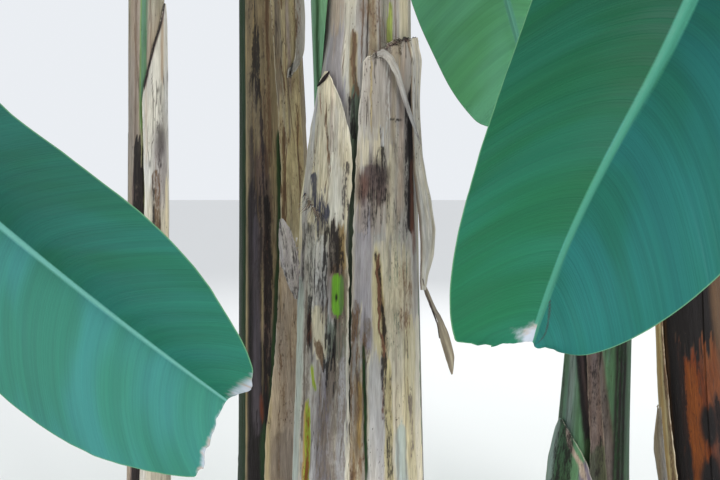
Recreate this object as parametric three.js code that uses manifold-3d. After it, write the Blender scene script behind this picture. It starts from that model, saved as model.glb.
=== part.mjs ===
// A banana clump: pseudostems of tightly wrapped leaf sheaths that rise from one rootstock,
// loose dry sheaths on their outsides, and a crown of long leaves at the top of each.
// Millimetres and degrees, Z up. The origin is the middle of the main stem's flat foot, and
// azimuth 0 points along +X, 90 along +Y.

import * as THREE from "three";
import { mergeVertices } from "three/addons/utils/BufferGeometryUtils.js";
import Module from "manifold-3d";

const wasm = await Module();
wasm.setup();

// Driving dimensions
const clearance = 0.3; // between a piece and what carries or continues it
const stemSides = 18;
const stemRings = 12;
const stemTaper = 1.55; // how early a stem narrows above its foot
const flareHeight = 90; // height over which the foot's flare dies out
const leafRings = 10;
const stepsPerRing = 8; // steps along a midrib from one ring to the next
const leafTurn = 154 / 360; // share of a turn from one leaf to the next one up
const petioleShare = 0.39; // half a petiole's width, as a share of its stem's throat radius
const rollAt = 0.6; // share of a leaf's length at which it has rolled over fully
const leastThickness = 0.01; // of a leaf's length, at its midrib
const wideGap = 418; // a leaf that arches further than this from its chord is two bodies
const sheathThickness = 5;

// Each stem stands at foot and reaches its throat at height. lean is how far it drifts per
// metre of height and bow how far it bulges aside at half height.
// A crown spreads its leaves over fan degrees to each side of facing, and phase shifts their
// spiral. Leaf 1 is the oldest and lowest. own holds what a single leaf does its own way.
// tipShare is how wide each half of a blade still is at its tip, and forward how far each
// half's margin runs ahead of the midrib, by its width: first the left half, then the right.
const stems = [
  {
    name: "main_stem",
    foot: [0, 0],
    lean: [12, 8],
    bow: [0, 0],
    height: 2600,
    footRadius: 134,
    throatRadius: 58,
    flare: 26,
    crown: {
      count: 8,
      facing: -9,
      fan: 172,
      phase: 0.93,
      length: 2150,
      halfWidth: 265,
      spear: 900,
      own: {
        1: {
          azimuth: 68,
          rise: 66,
          droop: 140,
          bendAt: 0.1,
          sweep: -98,
          roll: -28,
          length: 1600,
          halfWidth: 205,
        },
      },
    },
  },
  {
    name: "rear_stem",
    foot: [-160, 300],
    lean: [-23, 30],
    bow: [0, 0],
    height: 2280,
    footRadius: 108,
    throatRadius: 50,
    flare: 22,
    crown: {
      count: 6,
      facing: 124,
      fan: 103,
      phase: 0.73,
      length: 1850,
      halfWidth: 235,
      spear: 700,
    },
  },
  {
    name: "slim_stem",
    foot: [-436, 200],
    lean: [12, 0],
    bow: [0, 0],
    height: 1820,
    footRadius: 47,
    throatRadius: 34,
    flare: 20,
    crown: { count: 5, facing: 195, fan: 80, phase: 0.2, length: 1350, halfWidth: 165 },
  },
  {
    name: "right_stem",
    foot: [533, 500],
    lean: [45, 20],
    bow: [0, 0],
    height: 2000,
    footRadius: 98,
    throatRadius: 46,
    flare: 24,
    crown: {
      count: 5,
      facing: 57,
      fan: 72,
      phase: 0.38,
      length: 1650,
      halfWidth: 215,
      spear: 600,
    },
  },
  {
    name: "far_right_stem",
    foot: [812, 300],
    lean: [-60, 0],
    bow: [-70, 0],
    height: 1700,
    footRadius: 112,
    throatRadius: 44,
    flare: 22,
    crown: {
      count: 5,
      facing: -18,
      fan: 84,
      phase: 0.95,
      length: 1600,
      halfWidth: 220,
      own: {
        1: {
          azimuth: -98,
          seat: 1640,
          rise: 45,
          droop: 110,
          bendAt: 0.46,
          sweep: -93,
          roll: 0,
          fold: 6,
          length: 1670,
          halfWidth: 226,
          tipShare: [0.1, 0.5],
          forward: [0.2, 0.5],
        },
      },
    },
  },
  {
    name: "sucker_stem",
    foot: [-1020, -120],
    lean: [0, 0],
    bow: [0, 0],
    height: 800,
    footRadius: 46,
    throatRadius: 28,
    flare: 16,
    crown: {
      count: 4,
      facing: 176,
      fan: 107,
      phase: 0.79,
      length: 1050,
      halfWidth: 150,
      own: {
        1: {
          azimuth: -29,
          seat: 760,
          rise: 56,
          droop: 87,
          bendAt: 0.6,
          sweep: 20,
          roll: 98,
          fold: 19,
          length: 1085,
          halfWidth: 182,
          tipShare: [0.2, 0.72],
          forward: [0.2, 0.18],
        },
      },
    },
  },
];

const colours = {
  stem: { color: 0x8f8d7f, roughness: 0.8, metalness: 0 },
  drySheath: { color: 0xb5a98c, roughness: 0.9, metalness: 0 },
  leaf: { color: 0x337d5c, roughness: 0.5, metalness: 0 },
};

const radians = THREE.MathUtils.degToRad;
const lerp = THREE.MathUtils.lerp;
const clamp = THREE.MathUtils.clamp;
const smoothstep = THREE.MathUtils.smoothstep;

// A ring's points in its own plane, in two dimensions.
function flattened(ring) {
  const normal = new THREE.Vector3();
  const across = new THREE.Vector3();
  for (const [j, p] of ring.entries()) normal.add(across.crossVectors(p, ring[(j + 1) % ring.length]));
  normal.normalize();
  across.subVectors(ring[1], ring[0]).projectOnPlane(normal).normalize();
  const high = normal.clone().cross(across);
  return ring.map((p) => new THREE.Vector2(p.dot(across), p.dot(high)));
}

// A closed body through rings of equally many points, with a face across each end. The two
// halves of a ring are cut into mirrored triangles, so that a thin body's faces run alike and
// don't meet where it is twisted.
function loft(rings) {
  const sides = rings[0].length;
  const last = rings.length - 1;
  const index = [];
  for (let i = 0; i < last; i++)
    for (let j = 0; j < sides; j++) {
      const a = i * sides + j;
      const b = i * sides + ((j + 1) % sides);
      if (j < sides / 2) index.push(a, b, b + sides, a, b + sides, a + sides);
      else index.push(a, b, a + sides, b, b + sides, a + sides);
    }
  for (const [a, b, c] of THREE.ShapeUtils.triangulateShape(flattened(rings[0]), []))
    index.push(a, c, b);
  for (const triangle of THREE.ShapeUtils.triangulateShape(flattened(rings[last]), []))
    index.push(...triangle.map((corner) => last * sides + corner));
  const geometry = new THREE.BufferGeometry();
  const positions = rings.flat().flatMap((p) => [p.x, p.y, p.z]);
  geometry.setAttribute("position", new THREE.Float32BufferAttribute(positions, 3));
  geometry.setIndex(index);
  return geometry;
}

function toSolid(geometry) {
  const merged = mergeVertices(geometry, 1e-3);
  return new wasm.Manifold(
    new wasm.Mesh({
      numProp: 3,
      vertProperties: merged.attributes.position.array,
      triVerts: new Uint32Array(merged.index.array),
    }),
  );
}

// The largest single body of a solid, as a geometry.
function largestBody(solid) {
  const body = solid.decompose().sort((a, b) => b.volume() - a.volume())[0];
  const mesh = body.getMesh();
  const geometry = new THREE.BufferGeometry();
  geometry.setAttribute("position", new THREE.Float32BufferAttribute(mesh.vertProperties, 3));
  geometry.setIndex(new THREE.Uint32BufferAttribute(mesh.triVerts, 1));
  return geometry;
}

// Stems

function stemAxis(stem, z) {
  const share = z / stem.height;
  const aside = 4 * share * (1 - share);
  return new THREE.Vector3(
    stem.foot[0] + (stem.lean[0] * z) / 1000 + stem.bow[0] * aside,
    stem.foot[1] + (stem.lean[1] * z) / 1000 + stem.bow[1] * aside,
    z,
  );
}

function stemRadius(stem, z) {
  const left = 1 - clamp(z / stem.height, 0, 1);
  const body = stem.throatRadius + (stem.footRadius - stem.throatRadius) * left ** stemTaper;
  return body + stem.flare * Math.exp(-z / flareHeight);
}

function onStem(stem, z, azimuth, offset) {
  const reach = stemRadius(stem, z) + offset;
  const turn = radians(azimuth);
  return stemAxis(stem, z).add(
    new THREE.Vector3(reach * Math.cos(turn), reach * Math.sin(turn), 0),
  );
}

// The stem's outline steps in a little where each wrapped sheath ends over the next one,
// and the steps climb round the stem.
function stemBody(stem, extra) {
  const overlaps = 3;
  const step = 0.05;
  const climb = 40; // degrees per metre
  const rings = [];
  for (let i = 0; i <= stemRings; i++) {
    const z = stem.height * (i / stemRings) ** 1.15;
    const ring = [];
    for (let j = 0; j < stemSides; j++) {
      const along = ((j * overlaps) / stemSides) % 1;
      const stepIn = -step * along * stemRadius(stem, z);
      ring.push(onStem(stem, z, (360 * j) / stemSides + (climb * z) / 1000, stepIn + extra));
    }
    rings.push(ring);
  }
  return loft(rings);
}

// The furled leaf that stands on the middle of a stem's throat.
function spearBody(stem) {
  const sides = 8;
  const rings = [];
  for (const share of [0, 0.25, 0.5, 0.75, 0.93, 1]) {
    const z = stem.height + clearance + stem.crown.spear * share;
    const reach = stem.throatRadius * lerp(0.5, 0.1, share ** 1.5);
    const ring = [];
    for (let j = 0; j < sides; j++) {
      const turn = (2 * Math.PI * j) / sides;
      const around = new THREE.Vector3(reach * Math.cos(turn), reach * Math.sin(turn), 0);
      ring.push(stemAxis(stem, z).add(around));
    }
    rings.push(ring);
  }
  return loft(rings);
}

// Leaves

// Which way a leaf's midrib runs at a share of its length.
function leafHeading(leaf, share) {
  const lift = radians(leaf.rise - leaf.droop * smoothstep(share, 0, leaf.bendAt));
  const turn = radians(leaf.azimuth + leaf.sweep * share * share);
  return new THREE.Vector3(
    Math.cos(lift) * Math.cos(turn),
    Math.cos(lift) * Math.sin(turn),
    Math.sin(lift),
  );
}

// Points along a leaf's midrib, from just inside its stem to its tip, each with the blade's
// side and upper face. The blade turns with its midrib and rolls over by its own roll.
function leafStations(stem, leaf) {
  const stations = [];
  const steps = leafRings * stepsPerRing;
  const turn = radians(leaf.azimuth);
  const point = onStem(stem, leaf.seat, leaf.azimuth, -leaf.ribHalf * 0.4);
  const flat = new THREE.Vector3(-Math.sin(turn), Math.cos(turn), 0);
  const follow = new THREE.Quaternion();
  let along = leafHeading(leaf, 0);
  for (let i = 0; i <= steps; i++) {
    const share = i / steps;
    const heading = leafHeading(leaf, share);
    flat.applyQuaternion(follow.setFromUnitVectors(along, heading));
    along = heading;
    if (i % stepsPerRing === 0) {
      const roll = radians(leaf.roll * smoothstep(share, 0, rollAt));
      const side = flat.clone().applyAxisAngle(along, roll);
      stations.push({ share, point: point.clone(), along, side, up: along.clone().cross(side) });
    }
    point.addScaledVector(leafHeading(leaf, (i + 0.5) / steps), leaf.length / steps);
  }
  return stations;
}

// Half the blade's width at a share of the blade's length: round at the base, full along
// the middle and blunt at the tip.
function bladeHalfWidth(leaf, share, tipShare) {
  const baseEnd = 0.2;
  const tipStart = 0.68;
  const base = Math.sqrt(1 - (1 - clamp(share / baseEnd, 0, 1)) ** 2);
  const tip = clamp((share - tipStart) / (1 - tipStart), 0, 1);
  return leaf.halfWidth * base * Math.sqrt(1 - (1 - tipShare ** 2) * tip ** 2);
}

// Sections across a leaf: a keeled midrib with a blade to each side of it.
function leafSections(stations, leaf) {
  return stations.map(({ share, point, along, side, up }) => {
    const inBlade = clamp((share - leaf.petiole) / (1 - leaf.petiole), 0, 1);
    const ribHalf = lerp(leaf.ribHalf, leaf.ribHalf * 0.25, share);
    const keel = Math.max(ribHalf * 0.9, leaf.length * leastThickness);
    const fold = radians(inBlade > 0 ? leaf.fold : 0);
    const at = (across, high, ahead = 0) =>
      point
        .clone()
        .addScaledVector(side, across)
        .addScaledVector(up, high)
        .addScaledVector(along, ahead);
    const edge = (sign, half) => {
      const blade = Math.max(bladeHalfWidth(leaf, inBlade, leaf.tipShare[half]), ribHalf * 1.25);
      const ahead = blade * leaf.forward[half] * inBlade;
      return at(sign * blade * Math.cos(fold), blade * Math.sin(fold), ahead);
    };
    return [
      edge(-1, 1),
      at(-ribHalf, -keel * 0.45),
      at(0, -keel),
      at(ribHalf, -keel * 0.45),
      edge(1, 0),
      at(ribHalf, ribHalf * 0.35),
      at(0, ribHalf * 0.1),
      at(-ribHalf, ribHalf * 0.35),
    ];
  });
}

// The station furthest from the line between a leaf's ends, and how far away it lies.
function highestBend(stations) {
  const chord = new THREE.Line3(stations[0].point, stations[stations.length - 1].point);
  const foot = new THREE.Vector3();
  const away = stations.map(({ point }) =>
    chord.closestPointToPoint(point, true, foot).distanceTo(point),
  );
  const distance = Math.max(...away);
  return { index: away.indexOf(distance), distance };
}

// A leaf as one body, or as an inner and an outer one that meet at its highest bend.
function leafBodies(stem, leaf) {
  const stations = leafStations(stem, leaf);
  const sections = leafSections(stations, leaf);
  const bend = highestBend(stations);
  if (bend.distance < wideGap) return [{ name: leaf.name, geometry: loft(sections) }];
  const ahead = stations[bend.index].along.clone().multiplyScalar(clearance);
  const meeting = sections[bend.index].map((p) => p.clone().add(ahead));
  return [
    { name: leaf.name, geometry: loft(sections.slice(0, bend.index + 1)) },
    { name: `${leaf.name}_outer`, geometry: loft([meeting, ...sections.slice(bend.index + 1)]) },
  ];
}

// The youngest leaf stands upright and the oldest hangs beside the stem.
function crownLeaves(stem) {
  const { count, facing, fan, phase, length, halfWidth, own = {} } = stem.crown;
  const leaves = [];
  for (let k = 0; k < count; k++) {
    const age = 1 - k / (count - 1);
    const spiral = (leafTurn * k + phase) % 1;
    leaves.push({
      name: `${stem.name.replace("_stem", "")}_leaf_${k + 1}`,
      azimuth: facing + fan * (2 * spiral - 1),
      seat: stem.height - lerp(0.3, 2.6, age) * stem.throatRadius,
      rise: lerp(80, 52, age),
      droop: lerp(50, 104, age),
      bendAt: 1,
      sweep: 20 * Math.cos(2.4 * k + 6 * phase),
      roll: 24 * Math.sin(1.9 * k + 6 * phase),
      fold: lerp(24, -8, age),
      length: length * lerp(0.9, 1, Math.sin(Math.PI * clamp(age, 0, 0.6))),
      petiole: 0.2,
      halfWidth,
      tipShare: [0.45, 0.45],
      forward: [0.3, 0.3],
      ribHalf: petioleShare * stem.throatRadius,
      ...own[k + 1],
    });
  }
  return leaves;
}

// Loose dry sheaths

// A shell that follows its stem between two heights. Its outline is given by the azimuth of
// its middle and half its spread, each at the bottom and at the top, and it stands off the
// stem by lift. Towards a pointed top or bottom its spread narrows over that share of it.
function sheathBody(sheath) {
  const { from, to, middle, spread, apex = 0, foot = 0, lift, rows = 8, columns = 5 } = sheath;
  const sunk = 8;
  const rings = [];
  for (let row = 0; row <= rows; row++) {
    const share = row / rows;
    const z = lerp(from, to, share);
    const atTop = apex ? clamp((share - 1 + apex) / apex, 0, 0.985) : 0;
    const atFoot = foot ? clamp((foot - share) / foot, 0, 0.985) : 0;
    const narrowing = Math.sqrt((1 - atTop ** 1.7) * (1 - atFoot ** 1.7));
    const half = lerp(spread[0], spread[1], share) * narrowing;
    const centre = lerp(middle[0], middle[1], share);
    const outer = [];
    const inner = [];
    for (let column = 0; column <= columns; column++) {
      const across = (2 * column) / columns - 1;
      const off = lift(across, share);
      const azimuth = centre + half * across;
      outer.push(onStem(sheath.stem, z, azimuth, off + sheathThickness));
      inner.push(onStem(sheath.stem, z, azimuth, off - Math.max(0, sunk - off)));
    }
    rings.push([...outer, ...inner.reverse()]);
  }
  return loft(rings);
}

const stemNamed = Object.fromEntries(stems.map((stem) => [stem.name, stem]));

const sheaths = [
  {
    name: "main_front_sheath",
    stem: stemNamed.main_stem,
    from: 12,
    to: 1120,
    middle: [-141, -143],
    spread: [36, 38],
    apex: 0.3,
    lift: (across, share) => 1 + 9 * clamp(-across, 0, 1) * share,
  },
  {
    name: "main_right_sheath",
    stem: stemNamed.main_stem,
    from: 12,
    to: 1170,
    middle: [-72, -73],
    spread: [32, 31],
    lift: (across, share) => 1 + 6 * share ** 4,
  },
  {
    name: "main_loose_sheath",
    stem: stemNamed.main_stem,
    from: 560,
    to: 1185,
    middle: [-14, -20],
    spread: [15, 18],
    foot: 0.5,
    lift: (across, share) => 1 + 26 * Math.sin(Math.PI * share) * clamp(across + 1, 0, 1) ** 2,
  },
  {
    name: "main_left_flap",
    stem: stemNamed.main_stem,
    from: 700,
    to: 870,
    middle: [171, 169],
    spread: [6, 6],
    apex: 0.5,
    rows: 4,
    columns: 2,
    lift: (across, share) => 1 + 24 * share ** 2,
  },
  {
    name: "main_hanging_strip",
    stem: stemNamed.main_stem,
    from: 975,
    to: 1165,
    middle: [-31, -72],
    spread: [5, 6],
    rows: 6,
    columns: 2,
    lift: (across, share) => lerp(38, 12.6, share ** 0.5),
  },
  {
    name: "rear_tan_sheath",
    stem: stemNamed.rear_stem,
    from: 12,
    to: 1500,
    middle: [-60, -72],
    spread: [32, 24],
    lift: () => 1,
  },
  {
    name: "slim_pale_sheath",
    stem: stemNamed.slim_stem,
    from: 12,
    to: 1290,
    middle: [-60, -40],
    spread: [48, 50],
    apex: 0.3,
    lift: () => 1,
  },
  {
    name: "right_brown_sheath",
    stem: stemNamed.right_stem,
    from: 12,
    to: 900,
    middle: [-80, -100],
    spread: [35, 28],
    apex: 0.4,
    lift: () => 1,
  },
  {
    name: "far_right_tan_sheath",
    stem: stemNamed.far_right_stem,
    from: 12,
    to: 900,
    middle: [-150, -140],
    spread: [30, 24],
    apex: 0.3,
    lift: () => 1,
  },
];

function addPiece(group, name, geometry, look) {
  const mesh = new THREE.Mesh(geometry, new THREE.MeshStandardMaterial(look));
  mesh.name = name;
  group.add(mesh);
}

const clump = new THREE.Group();
for (const stem of stems) {
  addPiece(clump, stem.name, stemBody(stem, 0), colours.stem);
  if (stem.crown.spear) {
    const name = stem.name.replace("_stem", "_furled_leaf");
    addPiece(clump, name, spearBody(stem), colours.leaf);
  }
  const keepOut = toSolid(stemBody(stem, clearance));
  for (const leaf of crownLeaves(stem))
    for (const { name, geometry } of leafBodies(stem, leaf)) {
      const cut = toSolid(geometry).subtract(keepOut);
      addPiece(clump, name, largestBody(cut), colours.leaf);
    }
  for (const sheath of sheaths.filter((s) => s.stem === stem)) {
    const cut = toSolid(sheathBody(sheath)).subtract(keepOut);
    addPiece(clump, sheath.name, largestBody(cut), colours.drySheath);
  }
}

export default clump;
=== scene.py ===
# A banana clump: six pseudostems rolled from leaf sheaths, dry sheaths that come loose from
# them, and a crown of long leaves on each. Metres and degrees, Z up. The origin is the middle
# of the main stem's foot, and azimuth 0 points along +X, 90 along +Y, -90 at the viewer.

import math

import bpy
import numpy as np
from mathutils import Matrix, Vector


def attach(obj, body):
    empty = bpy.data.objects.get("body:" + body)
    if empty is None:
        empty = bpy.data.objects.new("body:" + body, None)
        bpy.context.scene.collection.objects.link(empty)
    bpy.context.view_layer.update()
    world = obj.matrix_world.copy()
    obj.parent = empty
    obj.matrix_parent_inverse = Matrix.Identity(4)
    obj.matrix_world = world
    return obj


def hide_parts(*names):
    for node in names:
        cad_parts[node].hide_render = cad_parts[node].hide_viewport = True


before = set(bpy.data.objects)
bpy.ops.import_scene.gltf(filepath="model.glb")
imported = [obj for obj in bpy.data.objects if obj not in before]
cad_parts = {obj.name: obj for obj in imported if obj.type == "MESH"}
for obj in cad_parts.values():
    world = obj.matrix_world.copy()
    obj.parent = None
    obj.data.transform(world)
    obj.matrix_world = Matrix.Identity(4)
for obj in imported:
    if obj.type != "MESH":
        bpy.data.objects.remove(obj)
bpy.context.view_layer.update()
print("frame loaded with", len(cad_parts), "nodes")


# Shared sums

def blend(a, b, share):
    return a + (b - a) * share


def eased(x, low, high):
    share = np.clip((x - low) / (high - low), 0, 1)
    return share * share * (3 - 2 * share)


def colour(red, green, blue):  # from screen values to linear light
    screen = np.array([red, green, blue]) / 255
    return np.where(screen <= 0.04045, screen / 12.92, ((screen + 0.055) / 1.055) ** 2.4)


lattice = np.random.default_rng(3).random((8, 256, 256))


# Soft noise from -1 to 1 with cells of size 1. It comes round again after "around" cells in x.
def softNoise(x, y, sheet, around=256):
    x, y = np.broadcast_arrays(x, y)
    i = np.floor(x).astype(int)
    j = np.floor(y).astype(int)
    right, up = eased(x - i, 0, 1), eased(y - j, 0, 1)
    cells = lattice[sheet % 8]

    def at(a, b):
        return cells[(a % around) % 256, b % 256]

    low = blend(at(i, j), at(i + 1, j), right)
    high = blend(at(i, j + 1), at(i + 1, j + 1), right)
    return 2 * blend(low, high, up) - 1


# Upright fibres on a stem: fine round it and drawn out along it.
def fibreNoise(azimuth, height, sheet):
    total = 0
    for octave, weight in enumerate((0.5, 0.3, 0.2)):
        cells = 60 * 2**octave
        across = (azimuth + 180) * cells / 360
        total = total + weight * softNoise(across, height * 6 * 2**octave, sheet + octave, cells)
    return total


# Finishes: what more than one material uses is a node group

def nodeGroup(name, inputs, outputs):
    group = bpy.data.node_groups.new(name, "ShaderNodeTree")
    for socketName, kind in inputs:
        group.interface.new_socket(socketName, in_out="INPUT", socket_type=kind)
    for socketName, kind in outputs:
        group.interface.new_socket(socketName, in_out="OUTPUT", socket_type=kind)
    return group, group.nodes.new("NodeGroupInput").outputs, group.nodes.new("NodeGroupOutput").inputs


def fill(tree, socket, value):
    if isinstance(value, bpy.types.NodeSocket):
        tree.links.new(value, socket)
    else:
        socket.default_value = value


def mathNode(tree, operation, first, second=0.0):
    node = tree.nodes.new("ShaderNodeMath")
    node.operation = operation
    fill(tree, node.inputs[0], first)
    fill(tree, node.inputs[1], second)
    return node.outputs[0]


def plus(tree, first, second):
    return mathNode(tree, "ADD", first, second)


def less(tree, first, second):
    return mathNode(tree, "SUBTRACT", first, second)


def times(tree, first, second):
    return mathNode(tree, "MULTIPLY", first, second)


def mixNode(tree, factor, first, second, blending="MIX"):
    node = tree.nodes.new("ShaderNodeMix")
    node.data_type = "RGBA"
    node.blend_type = blending
    for socket, value in zip((node.inputs[0], node.inputs[6], node.inputs[7]), (factor, first, second)):
        fill(tree, socket, value)
    return node.outputs[2]


def dyed(tree, colours, dye):
    return mixNode(tree, 1.0, colours, dye, "MULTIPLY")


def spread(tree, value, low, high, start=0.0, end=1.0):
    node = tree.nodes.new("ShaderNodeMapRange")
    node.interpolation_type = "SMOOTHSTEP"
    for socket, number in zip(list(node.inputs)[:5], (value, low, high, start, end)):
        fill(tree, socket, number)
    return node.outputs[0]


def stretched(tree, place, scale):
    node = tree.nodes.new("ShaderNodeMapping")
    node.inputs["Scale"].default_value = scale
    tree.links.new(place, node.inputs["Vector"])
    return node.outputs[0]


def noiseNode(tree, place, scale, detail=2.0):
    node = tree.nodes.new("ShaderNodeTexNoise")
    node.inputs["Scale"].default_value = scale
    node.inputs["Detail"].default_value = detail
    tree.links.new(place, node.inputs["Vector"])
    return node.outputs["Fac"]


# Marks on a sheath: noise cells in a metre, their detail, and where in the noise a mark starts
# and is full. A crack is a thin line through the middle of its own noise.
sheathMarks = {
    "streak": (130, 3, 0.3, 0.7),
    "hair": (560, 3, 0.33, 0.67),
    "cloud": (15, 4, 0.34, 0.66),
    "mottle": (64, 6, 0.5, 0.66),
    "crumb": (420, 3, 0.63, 0.68),
    "dirt": (42, 3, 0.54, 0.64),
    "parched": (24, 2, 0.52, 0.6),
    "crack": (62, 3, 0.0, 0.011),
}
# What breaks dead tissue up: how much of each mark is in it, less a share, and where it flakes
rottenMix = {"crumb": 1.1, "hair": 0.5, "clump": 1.2, "clumpCells": (120, 4), "dirt": 1.5, "less": 1.15,
             "flakes": (0.4, 0.72)}


# Wear of a leaf sheath. Grain is drawn out along the stem and place is not. Rot is how much
# of the surface has gone, and comes out broken up along the fibres.
def sheathWear(marks, rotten):
    inputs = [("Grain", "NodeSocketVector"), ("Place", "NodeSocketVector"), ("Rot", "NodeSocketFloat")]
    names = ("Streak", "Hair", "Cloud", "Mottle", "Speck", "Crack", "Rotten", "Height")
    group, given, result = nodeGroup("sheath_wear", inputs, [(n, "NodeSocketFloat") for n in names])
    place = stretched(group, given["Place"], (1, 1, 0.3))
    noise, mark = {}, {}
    for name, (cells, detail, start, full) in marks.items():
        where = given["Grain"] if name in ("streak", "hair", "crack") else place
        noise[name] = noiseNode(group, where, cells, detail)
        if name != "crack":
            mark[name] = spread(group, noise[name], start, full)
    middle = mathNode(group, "ABSOLUTE", less(group, noise["crack"], 0.5))
    line = spread(group, middle, *marks["crack"][2:], 1.0, 0.0)
    crack = times(group, line, mark["parched"])
    broken = times(group, noise["crumb"], rotten["crumb"])
    broken = plus(group, broken, times(group, mark["hair"], rotten["hair"]))
    clump = noiseNode(group, place, *rotten["clumpCells"])
    broken = plus(group, broken, times(group, clump, rotten["clump"]))
    broken = plus(group, broken, times(group, noise["dirt"], rotten["dirt"]))
    broken = less(group, broken, rotten["less"])
    flaked = spread(group, times(group, given["Rot"], broken), *rotten["flakes"])
    height = plus(group, times(group, mark["streak"], 0.4), times(group, mark["hair"], 0.35))
    height = times(group, height, plus(group, given["Rot"], 1))
    height = less(group, height, times(group, crack, 0.7))
    height = less(group, height, times(group, flaked, 0.35))
    speck = times(group, mark["crumb"], mark["dirt"])
    made = (mark["streak"], mark["hair"], mark["cloud"], mark["mottle"], speck, crack, flaked, height)
    for name, value in zip(names, made):
        group.links.new(value, result[name])
    return group


wear = sheathWear(sheathMarks, rottenMix)


def newMaterial(name):
    material = bpy.data.materials.new(name)
    material.use_nodes = True
    return material, material.node_tree, material.node_tree.nodes["Principled BSDF"]


def attribute(tree, name, output="Color"):
    node = tree.nodes.new("ShaderNodeAttribute")
    node.attribute_name = name
    return node.outputs[output]


def bumped(tree, shader, height, distance):
    bump = tree.nodes.new("ShaderNodeBump")
    bump.inputs["Distance"].default_value = distance
    tree.links.new(height, bump.inputs["Height"])
    tree.links.new(bump.outputs["Normal"], shader.inputs["Normal"])


# Tint is a point's live or dry colour. Rot is the colour of its dead tissue, and how far it
# has gone that way.
def sheathMaterial(name, look):
    material, tree, shader = newMaterial(name)
    gone = attribute(tree, "rot", "Alpha")
    worn = tree.nodes.new("ShaderNodeGroup")
    worn.node_tree = wear
    mask = worn.outputs
    tree.links.new(attribute(tree, "grain", "Vector"), worn.inputs["Grain"])
    tree.links.new(tree.nodes.new("ShaderNodeTexCoord").outputs["Object"], worn.inputs["Place"])
    tree.links.new(gone, worn.inputs["Rot"])
    colours = dyed(tree, attribute(tree, "tint"), mixNode(tree, mask["Cloud"], look["cool"], look["warm"]))
    colours = dyed(tree, colours, mixNode(tree, mask["Streak"], look["streak"], look["brightStreak"]))
    shadow = mixNode(tree, gone, look["hair"], look["deadHair"])
    hairy = mixNode(tree, mask["Hair"], shadow, look["brightHair"])
    colours = dyed(tree, colours, hairy)
    dusty = times(tree, mask["Mottle"], plus(tree, times(tree, gone, look["deadMottle"]), look["mottle"]))
    colours = mixNode(tree, dusty, colours, dyed(tree, colours, look["dusk"]))
    dead = dyed(tree, attribute(tree, "rot"), hairy)
    colours = mixNode(tree, times(tree, gone, look["stain"]), colours, dead)
    colours = mixNode(tree, times(tree, mask["Rotten"], look["flakes"]), colours, dead)
    colours = mixNode(tree, times(tree, mask["Speck"], look["specks"]), colours, look["speckColour"])
    colours = mixNode(tree, times(tree, mask["Crack"], look["cracks"]), colours, look["crackColour"])
    tree.links.new(colours, shader.inputs["Base Color"])
    tree.links.new(spread(tree, mask["Hair"], 0, 1, *look["roughness"]), shader.inputs["Roughness"])
    shader.inputs["Specular IOR Level"].default_value = look["gloss"]
    bumped(tree, shader, mask["Height"], look["relief"])
    return material


sheathLook = {
    "cool": (0.87, 0.89, 0.95, 1),
    "warm": (1.04, 1.0, 0.92, 1),
    "streak": (0.82, 0.8, 0.78, 1),
    "brightStreak": (1.09, 1.09, 1.09, 1),
    "hair": (0.89, 0.88, 0.87, 1),
    "deadHair": (0.6, 0.57, 0.55, 1),
    "brightHair": (1.1, 1.1, 1.1, 1),
    "dusk": (0.42, 0.38, 0.36, 1),
    "mottle": 0.16,
    "deadMottle": 0.6,
    "stain": 0.15,
    "flakes": 0.9,
    "specks": 0.7,
    "speckColour": (0.045, 0.032, 0.026, 1),
    "cracks": 0.5,
    "crackColour": (0.05, 0.038, 0.03, 1),
    "roughness": (0.55, 0.72),
    "gloss": 0.24,
    "relief": 0.0014,
}
dryLook = {
    "cool": (0.88, 0.88, 0.93, 1),
    "warm": (1.05, 1.0, 0.92, 1),
    "streak": (0.86, 0.85, 0.83, 1),
    "hair": (0.88, 0.87, 0.86, 1),
    "deadHair": (0.56, 0.53, 0.51, 1),
    "dusk": (0.46, 0.42, 0.41, 1),
    "mottle": 0.1,
    "stain": 0.12,
    "specks": 0.85,
    "cracks": 0.75,
    "roughness": (0.66, 0.86),
    "gloss": 0.2,
    "relief": 0.0018,
}
liveSheath = sheathMaterial("live_sheath", sheathLook)
drySheath = sheathMaterial("dry_sheath", {**sheathLook, **dryLook})


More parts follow.
